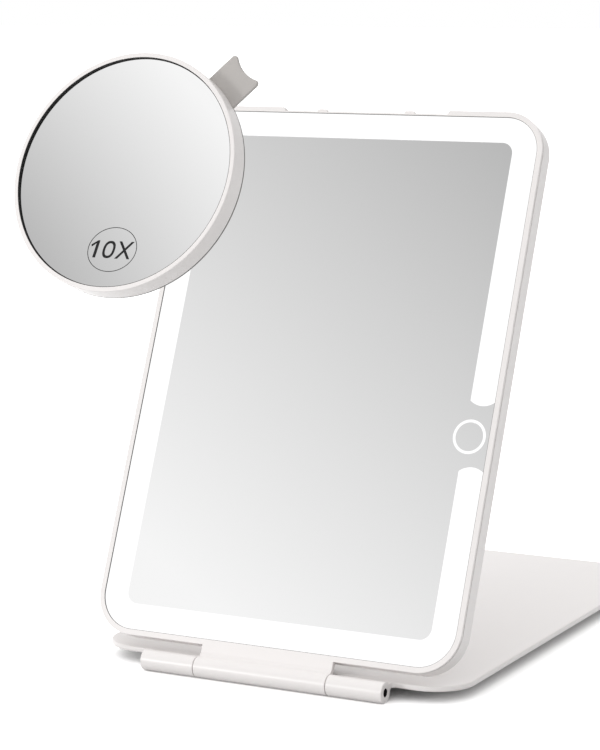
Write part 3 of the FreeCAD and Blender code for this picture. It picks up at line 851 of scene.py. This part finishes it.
    def build_liner(self) -> None:
        """Liner sheet with softened edges, cut back at the lip."""
        low, high = self.place.extent("stand_liner")
        notch = self.lip_front - self.pocket_gap
        notch_half = self.lip_half + self.pocket_gap
        radius = self.corner - self.liner_inset
        loop = rounded([(low[0], low[1], radius), (high[0], low[1], radius), (high[0], high[1], radius),
                        (notch_half, high[1], 0.0), (notch_half, notch, 0.0), (-notch_half, notch, 0.0),
                        (-notch_half, high[1], 0.0), (low[0], high[1], radius)])
        made = self.solid("cover_liner", loop, edge_profile(low[2], high[2], self.liner_edge))
        self.settle(made, Slot.COVER_LINER, "stand_liner")

    def build(self) -> None:
        """Makes the stand's pieces."""
        self.build_shell()
        self.build_hole_shade_sleeves()
        self.build_liner()


@dataclass
class Panel(Assembly):
    """Mirror panel: front frame with its knuckle, rear housing, pane, lit band and touch ring.

    Heights are measured from the frame's front face, so depths are negative heights.
    """

    BODY: ClassVar[Body] = Body.PANEL
    axis_height: float = 0.25
    corner: float = 17.7
    frame_depth: float = 1.05
    front_round: float = 0.2
    seam_gap: float = 0.65
    edge_round: float = 0.1
    opening_inset: float = 2.28
    skirt_outer: float = 1.35
    skirt_inner: float = 2.45
    skirt_back: float = 5.1
    ledge_inset: float = 3.9
    seat_depth: float = 2.6
    ledge_back: float = 3.6
    notch_half: float = 38.4
    notch_depth: float = 1.6
    notch_round: float = 0.78
    notch_spread: float = 4.0
    apron_wall: float = 1.2
    apron_front: float = 0.8
    apron_back: float = 8.4
    nub_half: float = 2.4
    nub_middle: float = 20.5
    nub_height: float = 1.2
    nub_root: float = 0.6
    nub_front: float = 0.3
    nub_back: float = 2.2
    nub_round: float = 0.8
    nub_edge: float = 0.3
    barrel_radius: float = 4.3
    knuckle_half: float = 30.05
    knuckle_edge: float = 0.3
    tongue_thickness: float = 2.3
    tongue_reach: float = 11.2
    tongue_slot: float = 10.4
    tongue_front_fillet: float = 2.5
    tongue_back_fillet: float = 1.0
    bore_radius: float = 1.65
    bush_radius: float = 2.6
    bush_length: float = 9.0
    fit_gap: float = 0.1
    rear_round: float = 1.2
    wall: float = 1.25
    rear_inside: float = 8.5
    port_gap: float = 0.15
    port_flare: float = 0.35
    post_radius: float = 2.0
    post_hole: float = 0.75
    screw_half: float = 1.5
    pane_edge: float = 0.12
    pane_sink: float = 0.28
    # Front of the dark bead that paints the shade in the gap round the pane.
    gap_shade_front: float = 0.06
    band_width: float = 10.8
    band_corner: float = 5.0
    band_low_end: float = 93.3
    band_high_end: float = 118.5
    band_end_radius: float = 8.5
    band_columns: int = 25
    print_rise: float = 0.02
    print_sink: float = 0.06
    touch_radius: float = 6.5
    touch_stroke: float = 1.15

    def __post_init__(self) -> None:
        """Takes the outline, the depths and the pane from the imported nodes."""
        low, high = self.place.extent("rear_housing")
        self.half, self.low, self.high = float(high[0]), float(low[1]), float(high[1])
        self.back = float(low[2])
        self.housing_front = -self.frame_depth - self.seam_gap
        self.pane_low, self.pane_high = self.place.extent("mirror_glass")
        self.pane_face = float(self.pane_high[2]) - self.pane_sink
        self.pane_inset = self.half - float(self.pane_high[0])
        self.pane_corner = self.corner - self.pane_inset
        self.print_level = self.pane_face + self.print_rise
        self.notch_floor = self.high - self.notch_depth

    def plain_loop(self) -> Array:
        """Panel outline without the notch."""
        return rectangle((-self.half, self.low), (self.half, self.high), self.corner)

    def notched_loop(self) -> Array:
        """Panel outline with the latch notch in its free edge.

        Returns:
            Points of the counter-clockwise loop.
        """
        notch = [(self.notch_half, self.high), (self.notch_half, self.notch_floor),
                 (-self.notch_half, self.notch_floor), (-self.notch_half, self.high)]
        sides = [(-self.half, self.high), (-self.half, self.low),
                 (self.half, self.low), (self.half, self.high)]
        return rounded(alike(notch, self.notch_round) + alike(sides, self.corner))

    def without_notch(self, outer: Array, inset: Array) -> Array:
        """Parallel loops inside the notched outline that run straight on past the notch.

        Args:
            outer: the notched outline.
            inset: how far each loop lies inside the panel's outline.

        Returns:
            One loop for each inset, with a point for each of the outline's.
        """
        across, up = outer[:, 0], outer[:, 1]
        free_edge = (np.abs(across) < self.half - self.corner) & (up > self.notch_floor - OVERRUN)
        straight = np.stack(np.broadcast_arrays(across, self.high - inset[:, None]), axis=-1)
        return np.where(free_edge[:, None], straight, moved_in(outer, inset))

    def frame_grid(self) -> Array:
        """Frame surface: a closed profile carried round the notched outline.

        Up to the opening, an inset is a share of the way from the notched outline to the opening's edge,
        so the frame narrows at the notch. Deeper insets follow the outline without the notch.

        Returns:
            The grid of points, profile by outline.
        """
        profile = rounded([
            (0.0, 0.0, self.front_round), (0.0, -self.frame_depth, self.edge_round),
            (self.skirt_outer, -self.frame_depth, 0.0), (self.skirt_outer, -self.skirt_back, 0.0),
            (self.skirt_inner, -self.skirt_back, 0.0), (self.skirt_inner, -self.ledge_back, 0.0),
            (self.ledge_inset, -self.ledge_back, 0.0), (self.ledge_inset, -self.seat_depth, 0.0),
            (self.opening_inset, -self.seat_depth, 0.0), (self.opening_inset, 0.0, self.edge_round)])
        outer = self.notched_loop()
        inset = profile[:, 0]
        edge = self.without_notch(outer, np.array([self.opening_inset]))
        ruled = outer + np.multiply.outer(inset / self.opening_inset, edge[0] - outer)
        deep = self.without_notch(outer, inset)
        flat = np.where(inset[:, None, None] > self.opening_inset, deep, ruled)
        return lifted(flat, profile[:, 1])

    def tongue(self) -> bpy.types.Object:
        """Middle knuckle with the tongue that runs flush into the frame.

        Returns:
            The solid.
        """
        loop = barrel_loop(self.barrel_radius, self.axis_height, -self.tongue_thickness, 0.0,
                           self.tongue_reach, self.tongue_back_fillet, self.tongue_front_fillet)
        ends = edge_profile(-self.knuckle_half, self.knuckle_half, self.knuckle_edge, self.knuckle_edge)
        return self.bar("tongue", loop, ends)

    def nubs(self) -> list[bpy.types.Object]:
        """Two rounded latch nubs that stand on the notch's floor.

        Returns:
            The solids.
        """
        base, top = self.notch_floor - self.nub_root, self.notch_floor + self.nub_height
        edge = edge_profile(-self.nub_back, -self.nub_front, self.nub_edge, self.nub_edge)
        middles = (-self.nub_middle, self.nub_middle)
        spans = [(middle - self.nub_half, middle + self.nub_half) for middle in middles]
        loops = [rounded([(left, base, 0.0), (right, base, 0.0), (right, top, self.nub_round),
                          (left, top, self.nub_round)]) for left, right in spans]
        return [self.solid("nub", loop, edge) for loop in loops]

    def bores(self) -> bpy.types.Object:
        """Stepped bore of the middle knuckle: the pin's hole with a wider seat for a bush at each end.

        Returns:
            The solid that is cut out.
        """
        seat = self.knuckle_half - self.bush_length
        half = [(self.bore_radius, seat), (self.bush_radius, seat),
                (self.bush_radius, self.knuckle_half + OVERRUN)]
        return bore(half).piece("bores", self.place.moved((0.0, 0.0, self.axis_height)))

    def build_frame(self) -> None:
        """Bezel, tongue, middle knuckle, apron and nubs in one moulding."""
        made = Skin().ring(self.frame_grid()).piece("bezel_frame", self.place)
        loop = rectangle((-self.notch_half, self.notch_floor - self.apron_wall),
                         (self.notch_half, self.notch_floor))
        apron = self.solid("apron", loop, edge_profile(-self.apron_back, -self.apron_front))
        combine(made, [self.tongue(), apron, *self.nubs()], Joining.ADD)
        combine(made, [self.bores()], Joining.CUT)
        self.settle(made, Slot.WHITE_SHELL, "front_frame")

    def housing_cuts(self) -> list[bpy.types.Object]:
        """Spaces that are cut from the housing: the notch, the tongue's slot and the charging port.

        Returns:
            The solids.
        """
        over = self.high + MERGE_DISTANCE / MILLIMETRE
        wide = self.notch_half + self.notch_spread
        notch = rounded([
            (-self.notch_half, self.notch_floor, self.notch_round),
            (self.notch_half, self.notch_floor, self.notch_round), (self.notch_half, over, self.notch_round),
            (wide, over, 0.0), (wide, over + OVERRUN, 0.0), (-wide, over + OVERRUN, 0.0), (-wide, over, 0.0),
            (-self.notch_half, over, self.notch_round)])
        inside = self.housing_front + OVERRUN
        slot = rectangle((-self.knuckle_half - self.fit_gap, self.low - OVERRUN),
                         (self.knuckle_half + self.fit_gap, self.tongue_slot + self.fit_gap))
        low, high = self.place.extent("usb_socket_shell")
        port = rectangle(low[1:], high[1:], (high[2] - low[2]) / 2)
        mouth, flare = -self.half, self.port_gap + self.port_flare
        port_span = np.array([(-flare, mouth - OVERRUN), (-flare, mouth),
                              (-self.port_gap, mouth + self.port_flare),
                              (-self.port_gap, mouth + self.wall + OVERRUN)])
        return [self.solid("notch", notch, edge_profile(self.back - OVERRUN, inside)),
                self.solid("tongue_slot", slot, edge_profile(-self.tongue_thickness - self.fit_gap, inside)),
                self.bar("port", port, port_span)]

    def posts(self) -> list[bpy.types.Object]:
        """Drilled posts on the housing's floor, one under each corner screw of the board.

        Returns:
            The solids.
        """
        low, high = self.place.extent("board_screws")
        top = self.place.extent("main_board")[0][2]
        foot = -self.rear_inside - self.fit_gap
        tube = [(self.post_hole, foot, 0.0), (self.post_radius, foot, 0.0),
                (self.post_radius, top, self.edge_round), (self.post_hole, top, 0.0)]
        low, high = low + self.screw_half, high - self.screw_half
        return [self.round_ring("post", tube, (x, y, 0.0), POST_COLUMNS)
                for x in (low[0], high[0]) for y in (low[1], high[1])]

    def build_housing(self) -> None:
        """Rear tray: outer wall, rounded back and inner floor, with its cuts and posts."""
        wall = rounded([(self.rear_round, self.back, 0.0), (0.0, self.back, self.rear_round),
                        (0.0, self.housing_front, self.edge_round),
                        (self.wall, self.housing_front, self.edge_round),
                        (self.wall, -self.rear_inside, 0.0)], closed=False)
        made = self.solid("rear_tray", self.plain_loop(), wall)
        combine(made, self.housing_cuts(), Joining.CUT)
        combine(made, self.posts(), Joining.ADD)
        self.settle(made, Slot.WHITE_SHELL, "rear_housing")

    def build_pane(self) -> None:
        """Mirror pane with ground edges."""
        loop = rectangle(self.pane_low[:2], self.pane_high[:2], self.pane_corner)
        edge = edge_profile(self.pane_low[2], self.pane_face, self.pane_edge, self.pane_edge)
        self.settle(self.solid("mirror_pane", loop, edge), Slot.MIRROR, "mirror_glass")

    def build_gap_shade_bead(self) -> None:
        """Dark bead that fills the narrow gap between the pane and its frame: painted shade for that gap."""
        front, back = -self.gap_shade_front, float(self.pane_low[2])
        section = rounded(alike([(self.opening_inset, front), (self.pane_inset, front),
                                 (self.pane_inset, back), (self.opening_inset, back)]))
        made = Skin().ring(swept(self.plain_loop(), section)).piece("pane_gap_shade", self.place)
        self.settle(made, Slot.DARK_SEAL, finish=SHADE_DARK_SILICONE)

    def build_band(self) -> None:
        """Lit band: a thin frosted strip between the pane's edge and an inner round-cornered outline.

        Both outlines start at the upper right corner, so equal stations face each other and a share from
        zero to one leads from the outer to the inner. The strip is open beside the touch ring, where each
        end bulges by the radius less the root of its square less the square of the place across.
        """
        left, low = self.pane_low[:2]
        right, high = self.pane_high[:2]
        step = self.band_width
        corners = np.array([(right, high), (left, high), (left, low), (right, low)])
        inwards = np.array([(-1, -1), (1, -1), (1, 1), (-1, 1)]) * step
        outer = rounded(alike(corners, self.pane_corner))
        inner = rounded(alike(corners + inwards, self.band_corner))
        share = np.linspace(0.0, 1.0, self.band_columns)
        across = np.linspace(-step / 2, step / 2, self.band_columns)
        bulge = self.band_end_radius - np.sqrt(self.band_end_radius ** 2 - across ** 2)
        flat = outer[:, None] + share[:, None] * (inner - outer)[:, None]
        sideways = right - share * step
        first = np.stack([sideways, self.band_high_end + bulge], axis=-1)
        last = np.stack([sideways, self.band_low_end - bulge], axis=-1)
        flat = np.concatenate([first[None], flat, last[None]])
        top = lifted(flat, np.full(len(flat), self.print_level))
        made = Skin().slab(top, (0.0, 0.0, -self.print_sink)).piece("light_band", self.place)
        self.settle(made, Slot.MIRROR, finish=LIT_FROST)

    def build_touch_ring(self) -> None:
        """Lit ring of the touch control, over its sensor."""
        low, high = self.place.extent("touch_sensor")
        across, up, _ = (low + high) / 2
        inner, outer = self.touch_radius - self.touch_stroke / 2, self.touch_radius + self.touch_stroke / 2
        top, bottom = self.print_level, self.print_level - self.print_sink
        section = alike([(inner, top), (outer, top), (outer, bottom), (inner, bottom)])
        self.settle(self.round_ring("touch_ring", section, (across, up, 0.0)), Slot.MIRROR, finish=LIT_FROST)

    def build(self) -> None:
        """Makes the panel's pieces."""
        self.build_frame()
        self.build_housing()
        self.build_pane()
        self.build_gap_shade_bead()
        self.build_band()
        self.build_touch_ring()


def oval(middle: Sequence[float], size: Array, power: float = 1.0) -> Array:
    """Closed oval about its middle: half its width and height times powers of cosine and sine."""
    ring = circle(OVAL_COLUMNS)
    return middle + np.sign(ring) * np.abs(ring) ** power * size / 2


@dataclass
class Magnifier(Assembly):
    """Round magnifier: ring, back, concave mirror with its mark, seal, pad and pull tab.

    Heights are measured from the ring's front.
    """

    BODY: ClassVar[Body] = Body.MAGNIFIER
    front_round: float = 0.35
    back_round: float = 0.5
    # Depth and width of the dark band that paints the shade at the ring's rear edge.
    shade_band_depth: float = 0.7
    shade_band_width: float = 1.5
    inner_round: float = 0.15
    opening: float = 39.4
    seat_radius: float = 36.45
    glue_gap: float = 0.05
    seal_wall: float = 0.2
    seal_front: float = 0.1
    recess: float = 1.15
    curve_radius: float = 400.0
    thickness: float = 1.65
    bowl_rows: int = 48
    tab_turn: float = 47.5
    tab_width: float = 14.8
    tab_reach: float = 53.0
    tab_hold: float = 8.0
    tab_thickness: float = 1.2
    tab_hollow: float = 2.4
    tab_tip: float = 1.3
    tab_edge: float = 0.42
    slot_gap: float = 0.1
    pad_edge: float = 0.15
    mark_middle: tuple[float, float] = (0.93, -26.1)
    mark_size: tuple[float, float] = (18.4, 15.4)
    mark_line: float = 0.23
    mark_rise: float = 0.03
    mark_sink: float = 0.06
    figure_base: float = -29.15
    figure_height: float = 6.0
    figure_slant: float = 0.09
    figure_stroke: float = 1.05
    one_right: float = -4.85
    one_flag_reach: float = 1.8
    one_flag_drop: float = 1.6
    one_flag_cut: float = 0.7
    one_corner: float = 0.35
    zero_middle: float = -0.57
    zero_half: float = 2.25
    zero_stroke: float = 0.86
    zero_power: float = 0.85
    cross_left: float = 2.95
    cross_right: float = 7.65

    def __post_init__(self) -> None:
        """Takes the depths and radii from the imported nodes."""
        low, high = self.place.extent("magnifier_ring")
        self.radius, self.back = float(high[0]), float(low[2])
        self.groove, self.step = self.radius - self.shade_band_width, self.back + self.shade_band_depth
        self.seat = float(self.place.extent("magnifier_seal")[0][2])
        self.mirror_radius = float(self.place.extent("magnifier_glass")[1][0])

    def bowl(self, radius: Array, behind: float = 0.0) -> Array:
        """Height of the concave mirror, or of a sphere behind it.

        It is the rim's height less the drop to a sphere of the curve's radius plus the distance behind: the
        root of the square of that radius less the square of the place, less the face's root at the rim.

        Args:
            radius: distance from the middle.
            behind: how far behind the mirror's face.

        Returns:
            Heights below the ring's front, as negative values.
        """
        rim = math.sqrt(self.curve_radius ** 2 - self.mirror_radius ** 2)
        return rim - self.recess - np.sqrt((self.curve_radius + behind) ** 2 - np.asarray(radius) ** 2)

    def tab_solid(self, name: str, loop: Array, profile: Array) -> bpy.types.Object:
        """Solid made along the first axis and turned to the tab's direction.

        Args:
            name: the solid's name.
            loop: its outline.
            profile: its edge, as (inset, height).

        Returns:
            The solid.
        """
        sine, cosine = math.sin(math.radians(self.tab_turn)), math.cos(math.radians(self.tab_turn))
        spin = np.array([(cosine, sine, 0.0), (-sine, cosine, 0.0), (0.0, 0.0, 1.0)])
        return Skin().solid(swept(loop, profile) @ spin).piece(name, self.place)

    def cut_tab_slot(self, made: bpy.types.Object) -> None:
        """Cuts out the space that the tab takes up in a ring.

        Args:
            made: the ring.
        """
        half = self.tab_width / 2 + self.slot_gap
        loop = rectangle((self.seat_radius - OVERRUN, -half), (self.radius + OVERRUN, half))
        span = edge_profile(self.back - OVERRUN, self.back + self.tab_thickness + self.slot_gap)
        combine(made, [self.tab_solid("tab_slot", loop, span)], Joining.CUT)

    def build_ring(self) -> None:
        """Housing ring with a rounded front edge, slotted for the tab and stepped for the dark band of painted
        shade.
        """
        seat = self.seat - self.glue_gap
        made = self.round_ring("magnifier_housing", [
            (self.opening, 0.0, self.inner_round), (self.radius, 0.0, self.front_round),
            (self.radius, self.step, 0.0), (self.groove, self.step, 0.0), (self.groove, self.back, 0.0),
            (self.seat_radius, self.back, 0.0), (self.seat_radius, seat, 0.0), (self.opening, seat, 0.0)])
        self.cut_tab_slot(made)
        self.settle(made, Slot.WHITE_SHELL, "magnifier_ring")

    def build_rear_shade_band(self) -> None:
        """Dark soft band in the step of the ring's rear edge, from one side of the tab round to the other: painted
        shade.
        """
        made = self.round_ring("rear_edge_shade_band", [
            (self.groove, self.back, 0.0), (self.radius, self.back, self.inner_round),
            (self.radius, self.step, 0.0), (self.groove, self.step, 0.0)])
        self.cut_tab_slot(made)
        self.settle(made, Slot.SOFT_GREY, finish=SHADE_DARK_SILICONE)

    def build_disc(self, name: str, node: str, edge: float, slot: Slot) -> None:
        """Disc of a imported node's size whose rear edge is rounded.

        Args:
            name: the piece's name.
            node: the CAD node that it replaces.
            edge: radius of its rear edge.
            slot: the record's slot that its finish comes from.
        """
        low, high = self.place.extent(node)
        line = rounded([(high[0] - edge, low[2], 0.0), (high[0], low[2], edge), (high[0], high[2], 0.0)],
                       closed=False)
        self.settle(Skin().solid(turned(line)).piece(name, self.place), slot, node)

    def build_mirror(self) -> None:
        """Concave mirror of even thickness: its face from the middle out, then its back to the middle."""
        radius = np.linspace(0.0, self.mirror_radius, self.bowl_rows)
        face = np.stack([radius, self.bowl(radius)], axis=-1)
        back = np.stack([radius, self.bowl(radius, self.thickness)], axis=-1)[::-1]
        made = Skin().grid(turned(np.concatenate([face, back])), wrap_columns=True)
        self.settle(made.piece("concave_mirror", self.place), Slot.MIRROR, "magnifier_glass")

    def build_seal(self) -> None:
        """Dark seal that lines the opening round the mirror."""
        inner = self.opening - self.seal_wall
        made = self.round_ring("mirror_seal", [
            (inner, -self.seal_front, self.inner_round), (self.opening, -self.seal_front, 0.0),
            (self.opening, self.seat, 0.0), (inner, self.seat, 0.0)])
        self.settle(made, Slot.DARK_SEAL, "magnifier_seal")

    def tab_loop(self) -> Array:
        """Outline of the tab along the first axis.

        A tip circle touches the side and the hollow's circle from outside, so its middle lies the sum of
        both radii from the hollow's middle, and the arcs meet on the line between the two middles.

        Returns:
            Points of the counter-clockwise loop.
        """
        half = self.tab_width / 2
        tip = self.tab_tip
        start = self.seat_radius - self.tab_hold
        hollow = (half ** 2 + self.tab_hollow ** 2) / (2 * self.tab_hollow)
        sweep = math.asin((half - tip) / (hollow + tip))
        middle = self.tab_reach + hollow - self.tab_hollow
        tip_along = middle - (hollow + tip) * math.cos(sweep)
        return np.concatenate([
            [(start, -half)],
            arc((tip_along, tip - half), tip, -QUARTER_TURN, QUARTER_TURN + sweep),
            arc((middle, 0.0), hollow, math.pi + sweep, -2 * sweep)[1:],
            arc((tip_along, half - tip), tip, -sweep, QUARTER_TURN + sweep)[1:],
            [(start, half)],
        ])

    def build_tab(self) -> None:
        """Pull tab: a soft strap with rounded edges, two round tips and a hollow end between them."""
        edge = edge_profile(self.back, self.back + self.tab_thickness, self.tab_edge, self.tab_edge)
        self.settle(self.tab_solid("grip_tab", self.tab_loop(), edge), Slot.SOFT_GREY, "pull_tab")

    def on_bowl(self, points: Array) -> Array:
        """Points whose height counts from the mirror's face, set on that face."""
        rise = self.bowl(np.hypot(points[..., 0], points[..., 1]))
        return np.concatenate([points[..., :2], points[..., 2:] + rise[..., None]], axis=-1)

    def ink(self, loop: Array) -> Array:
        """Printed layer of an outline on the mirror's face: the outline at both its heights."""
        heights = np.array([self.mark_rise - self.mark_sink, self.mark_rise])
        return self.on_bowl(lifted(np.broadcast_to(loop, heights.shape + loop.shape), heights))

    def ink_ring(self, outer: Array, inner: Array) -> Array:
        """Printed layer between two outlines with as many points: up the outer one and down the inner."""
        return np.concatenate([self.ink(outer), self.ink(inner)[::-1]])

    def build_mark_circle(self) -> None:
        """Thin printed oval round the mark."""
        size = np.array(self.mark_size)
        outlines = [oval(self.mark_middle, size - less) for less in (0.0, 2 * self.mark_line)]
        made = Skin().ring(self.ink_ring(*outlines)).piece("mark_circle", self.place)
        self.settle(made, Slot.MIRROR, finish=DARK_PRINT)

    def one_loop(self) -> Array:
        """Upright outline of the 1 above the base line: a stem with a flag at its upper left.

        Returns:
            Points of the counter-clockwise loop.
        """
        right, top = self.one_right, self.figure_height
        left = right - self.figure_stroke
        tip, drop = left - self.one_flag_reach, top - self.one_flag_drop
        return np.array([(left, 0.0), (right, 0.0), (right, top), (left + self.one_corner, top),
                         (tip, drop), (tip + self.one_corner, drop - self.one_flag_cut),
                         (left, top - self.figure_stroke)])

    def cross_loop(self) -> Array:
        """Upright outline of the X: two straight strokes, with corners where their edges meet.

        Returns:
            Points of the counter-clockwise loop.
        """
        left, right, top = self.cross_left, self.cross_right, self.figure_height
        half = self.figure_stroke / 2
        middle = (left + right) / 2
        notch = (right - left - 2 * half) / (right - left) * top / 2
        return np.array([(left - half, 0.0), (left + half, 0.0), (middle, notch), (right - half, 0.0),
                         (right + half, 0.0), (middle + half, top / 2), (right + half, top),
                         (right - half, top), (middle, top - notch), (left + half, top),
                         (left - half, top), (middle - half, top / 2)])

    def leaning(self, loop: Array) -> Array:
        """An upright outline set on the base line, moved across by the slant times its height."""
        across, up = loop.T
        return np.stack([across + self.figure_slant * up, up + self.figure_base], axis=-1)

    def build_mark(self) -> None:
        """Printed strength mark: slanted figures laid on the mirror's face."""
        middle = (self.zero_middle, self.figure_height / 2)
        size = np.array([2 * self.zero_half, self.figure_height])
        zero = [self.leaning(oval(middle, size - less, self.zero_power))
                for less in (0.0, 2 * self.zero_stroke)]
        figures = Skin().solid(self.ink(self.leaning(self.one_loop())))
        figures.ring(self.ink_ring(*zero))
        figures.solid(self.ink(self.leaning(self.cross_loop())))
        self.settle(figures.piece("mark_figures", self.place), Slot.MIRROR, finish=DARK_PRINT)

    def build(self) -> None:
        """Makes the magnifier's pieces."""
        self.build_ring()
        self.build_rear_shade_band()
        self.build_disc("magnifier_cover", "magnifier_back", self.back_round, Slot.WHITE_SHELL)
        self.build_mirror()
        self.build_seal()
        self.build_disc("soft_pad", "magnifier_pad", self.pad_edge, Slot.SOFT_GREY)
        self.build_tab()
        self.build_mark_circle()
        self.build_mark()


def dress_packed_nodes() -> None:
    """Dresses every CAD node that still shows, in the finish of its slot or in one of its own."""
    for part in frame["record"]["subparts"]:
        node = frame["nodes"][part["node"]]
        if node.hide_render:
            continue
        finish = NODE_FINISHES.get(part["node"], SLOT_FINISHES[Slot(part["material_slot"])])
        dress(node, finish)
        log.info("%s: packed node in %s", node.name, finish.name)


@dataclass
class Studio:
    """Plain white studio: floor, soft surround with a greyer ceiling, and one low key light.

    The ceiling is what the mirrors show: its light falls off upwards and to the right.
    """

    fill_level: float = 0.41
    fill_slope: Triple = (-0.2, -0.15, 0.9)
    fill_least: float = 0.0
    fill_most: float = 1.4
    floor_size: float = 40.0
    floor_seen: float = 1.5
    floor_tint: float = 0.6
    sky_level: float = 1.33
    sky_slope: Triple = (-0.866, 0.0, -1.9313)
    sky_least: float = 0.5
    sky_most: float = 1.0
    mirror_loss: float = 0.92
    key_azimuth: float = -31.0
    key_height: float = 9.0
    key_distance: float = 1.8
    key_size: float = 0.4
    key_power: float = 6.5
    target: Triple = (0.0, 0.0, 0.11)

    def gradient(self, tree: bpy.types.NodeTree, level: float, slope: Sequence[float],
                 least: float, most: float) -> bpy.types.NodeSocket:
        """Light that changes evenly with direction: a level plus the slope's product with the direction.

        Args:
            tree: the world's nodes.
            level: light straight across the slope.
            slope: how the light grows along the row axes.
            least: the darkest value.
            most: the brightest value.

        Returns:
            The socket that gives the value.
        """
        place = wired(tree, "ShaderNodeTexCoord")["Generated"]
        along = wired(tree, "ShaderNodeVectorMath", {0: place, 1: slope}, operation="DOT_PRODUCT")["Value"]
        raised = calculated(tree, "ADD", along, level)
        return wired(tree, "ShaderNodeClamp", {"Value": raised, "Min": least, "Max": most})[0]

    def build_world(self) -> None:
        """Surround: white to the camera, the ceiling's gradient to mirrors, a soft fill to the rest."""
        world = bpy.data.worlds.new("studio")
        world.use_nodes = True
        bpy.context.scene.world = world
        tree = world.node_tree
        tree.nodes.clear()
        fill = self.gradient(tree, self.fill_level, self.fill_slope, self.fill_least, self.fill_most)
        slope = [part / self.mirror_loss for part in self.sky_slope]
        sky = self.gradient(tree, self.sky_level / self.mirror_loss, slope, self.sky_least, self.sky_most)
        path = wired(tree, "ShaderNodeLightPath")
        unseen = blend(tree, path["Is Glossy Ray"], fill, sky)
        seen = calculated(tree, "MAXIMUM", path["Is Camera Ray"], path["Is Transmission Ray"])
        strength = blend(tree, seen, unseen, 1.0)
        light = wired(tree, "ShaderNodeBackground", {"Color": WHITE, "Strength": strength})
        wired(tree, "ShaderNodeOutputWorld", {"Surface": light[0]})

    def build_floor(self) -> None:
        """White floor, paler to the camera, to mirrors and through glass than in the light it returns."""
        half = self.floor_size / 2
        mesh = bpy.data.meshes.new("floor")
        mesh.from_pydata([(-half, -half, 0.0), (half, -half, 0.0), (half, half, 0.0), (-half, half, 0.0)],
                         [], [(0, 1, 2, 3)])
        floor = bpy.data.objects.new("floor", mesh)
        bpy.context.scene.collection.objects.link(floor)
        material = bpy.data.materials.new("white_floor")
        material.use_nodes = True
        tree = material.node_tree
        tree.nodes.clear()
        path = wired(tree, "ShaderNodeLightPath")
        seen = calculated(tree, "MAXIMUM", path["Is Camera Ray"], path["Is Glossy Ray"])
        seen = calculated(tree, "MAXIMUM", seen, path["Is Transmission Ray"])
        tint = blend(tree, seen, self.floor_tint, self.floor_seen)
        matt = wired(tree, "ShaderNodeBsdfDiffuse", {"Color": tint})
        wired(tree, "ShaderNodeOutputMaterial", {"Surface": matt[0]})
        mesh.materials.append(material)

    def build_key(self) -> None:
        """Key light: a square in front at the left, low enough to stay out of both mirrors."""
        lamp = bpy.data.lights.new("key", "AREA")
        lamp.size = self.key_size
        lamp.energy = self.key_power
        key = bpy.data.objects.new("key", lamp)
        bpy.context.scene.collection.objects.link(key)
        side = math.radians(self.key_azimuth)
        rise = math.radians(self.key_height)
        away = np.array([math.sin(side) * math.cos(rise), -math.cos(side) * math.cos(rise), math.sin(rise)])
        key.location = np.asarray(self.target) + away * self.key_distance
        key.rotation_euler = (QUARTER_TURN - rise, 0.0, side)
        key.visible_camera = False

    def build(self) -> None:
        """Makes the studio."""
        self.build_world()
        self.build_floor()
        self.build_key()
        bpy.context.scene.view_settings.view_transform = "Standard"


@dataclass
class Viewpoint:
    """Camera where the photograph was taken from, in millimetres and degrees of the row frame."""

    location: Triple = (464.99, -892.736, 274.607)
    turn: float = 27.477
    drop: float = 8.58
    focal_pixels: float = 2498.674
    frame_height: float = 750.0
    sensor: float = 36.0

    def build(self) -> None:
        """Makes the camera and gives it to the scene."""
        lens = bpy.data.cameras.new("camera")
        lens.sensor_width = self.sensor
        lens.lens = self.focal_pixels / self.frame_height * self.sensor
        camera = bpy.data.objects.new("camera", lens)
        bpy.context.scene.collection.objects.link(camera)
        camera.location = np.asarray(self.location) * MILLIMETRE
        camera.rotation_euler = (QUARTER_TURN - math.radians(self.drop), 0.0, math.radians(self.turn))
        bpy.context.scene.camera = camera


def main() -> None:
    """Builds the sub-assemblies in order, then the studio and the camera."""
    logging.basicConfig(level=logging.INFO, format="%(message)s")
    fold = next(joint for joint in frame["joints"] if joint["name"] == "mirror_fold")
    hinge = tuple(fold["pos_m"])
    panel_place = Placement(hinge, PANEL_LEAN).moved((0.0, 0.0, -Panel.axis_height))
    ring_low, ring_high = panel_place.extent("magnifier_ring")
    middle = (ring_low + ring_high) / 2
    ring_place = panel_place.moved((middle[0], middle[1], ring_high[2]))
    for assembly in (Stand(Placement(hinge, LEVEL_LEAN)), Panel(panel_place), Magnifier(ring_place)):
        assembly.build()
    dress_packed_nodes()
    Studio().build()
    Viewpoint().build()


if __name__ == "__main__":
    main()
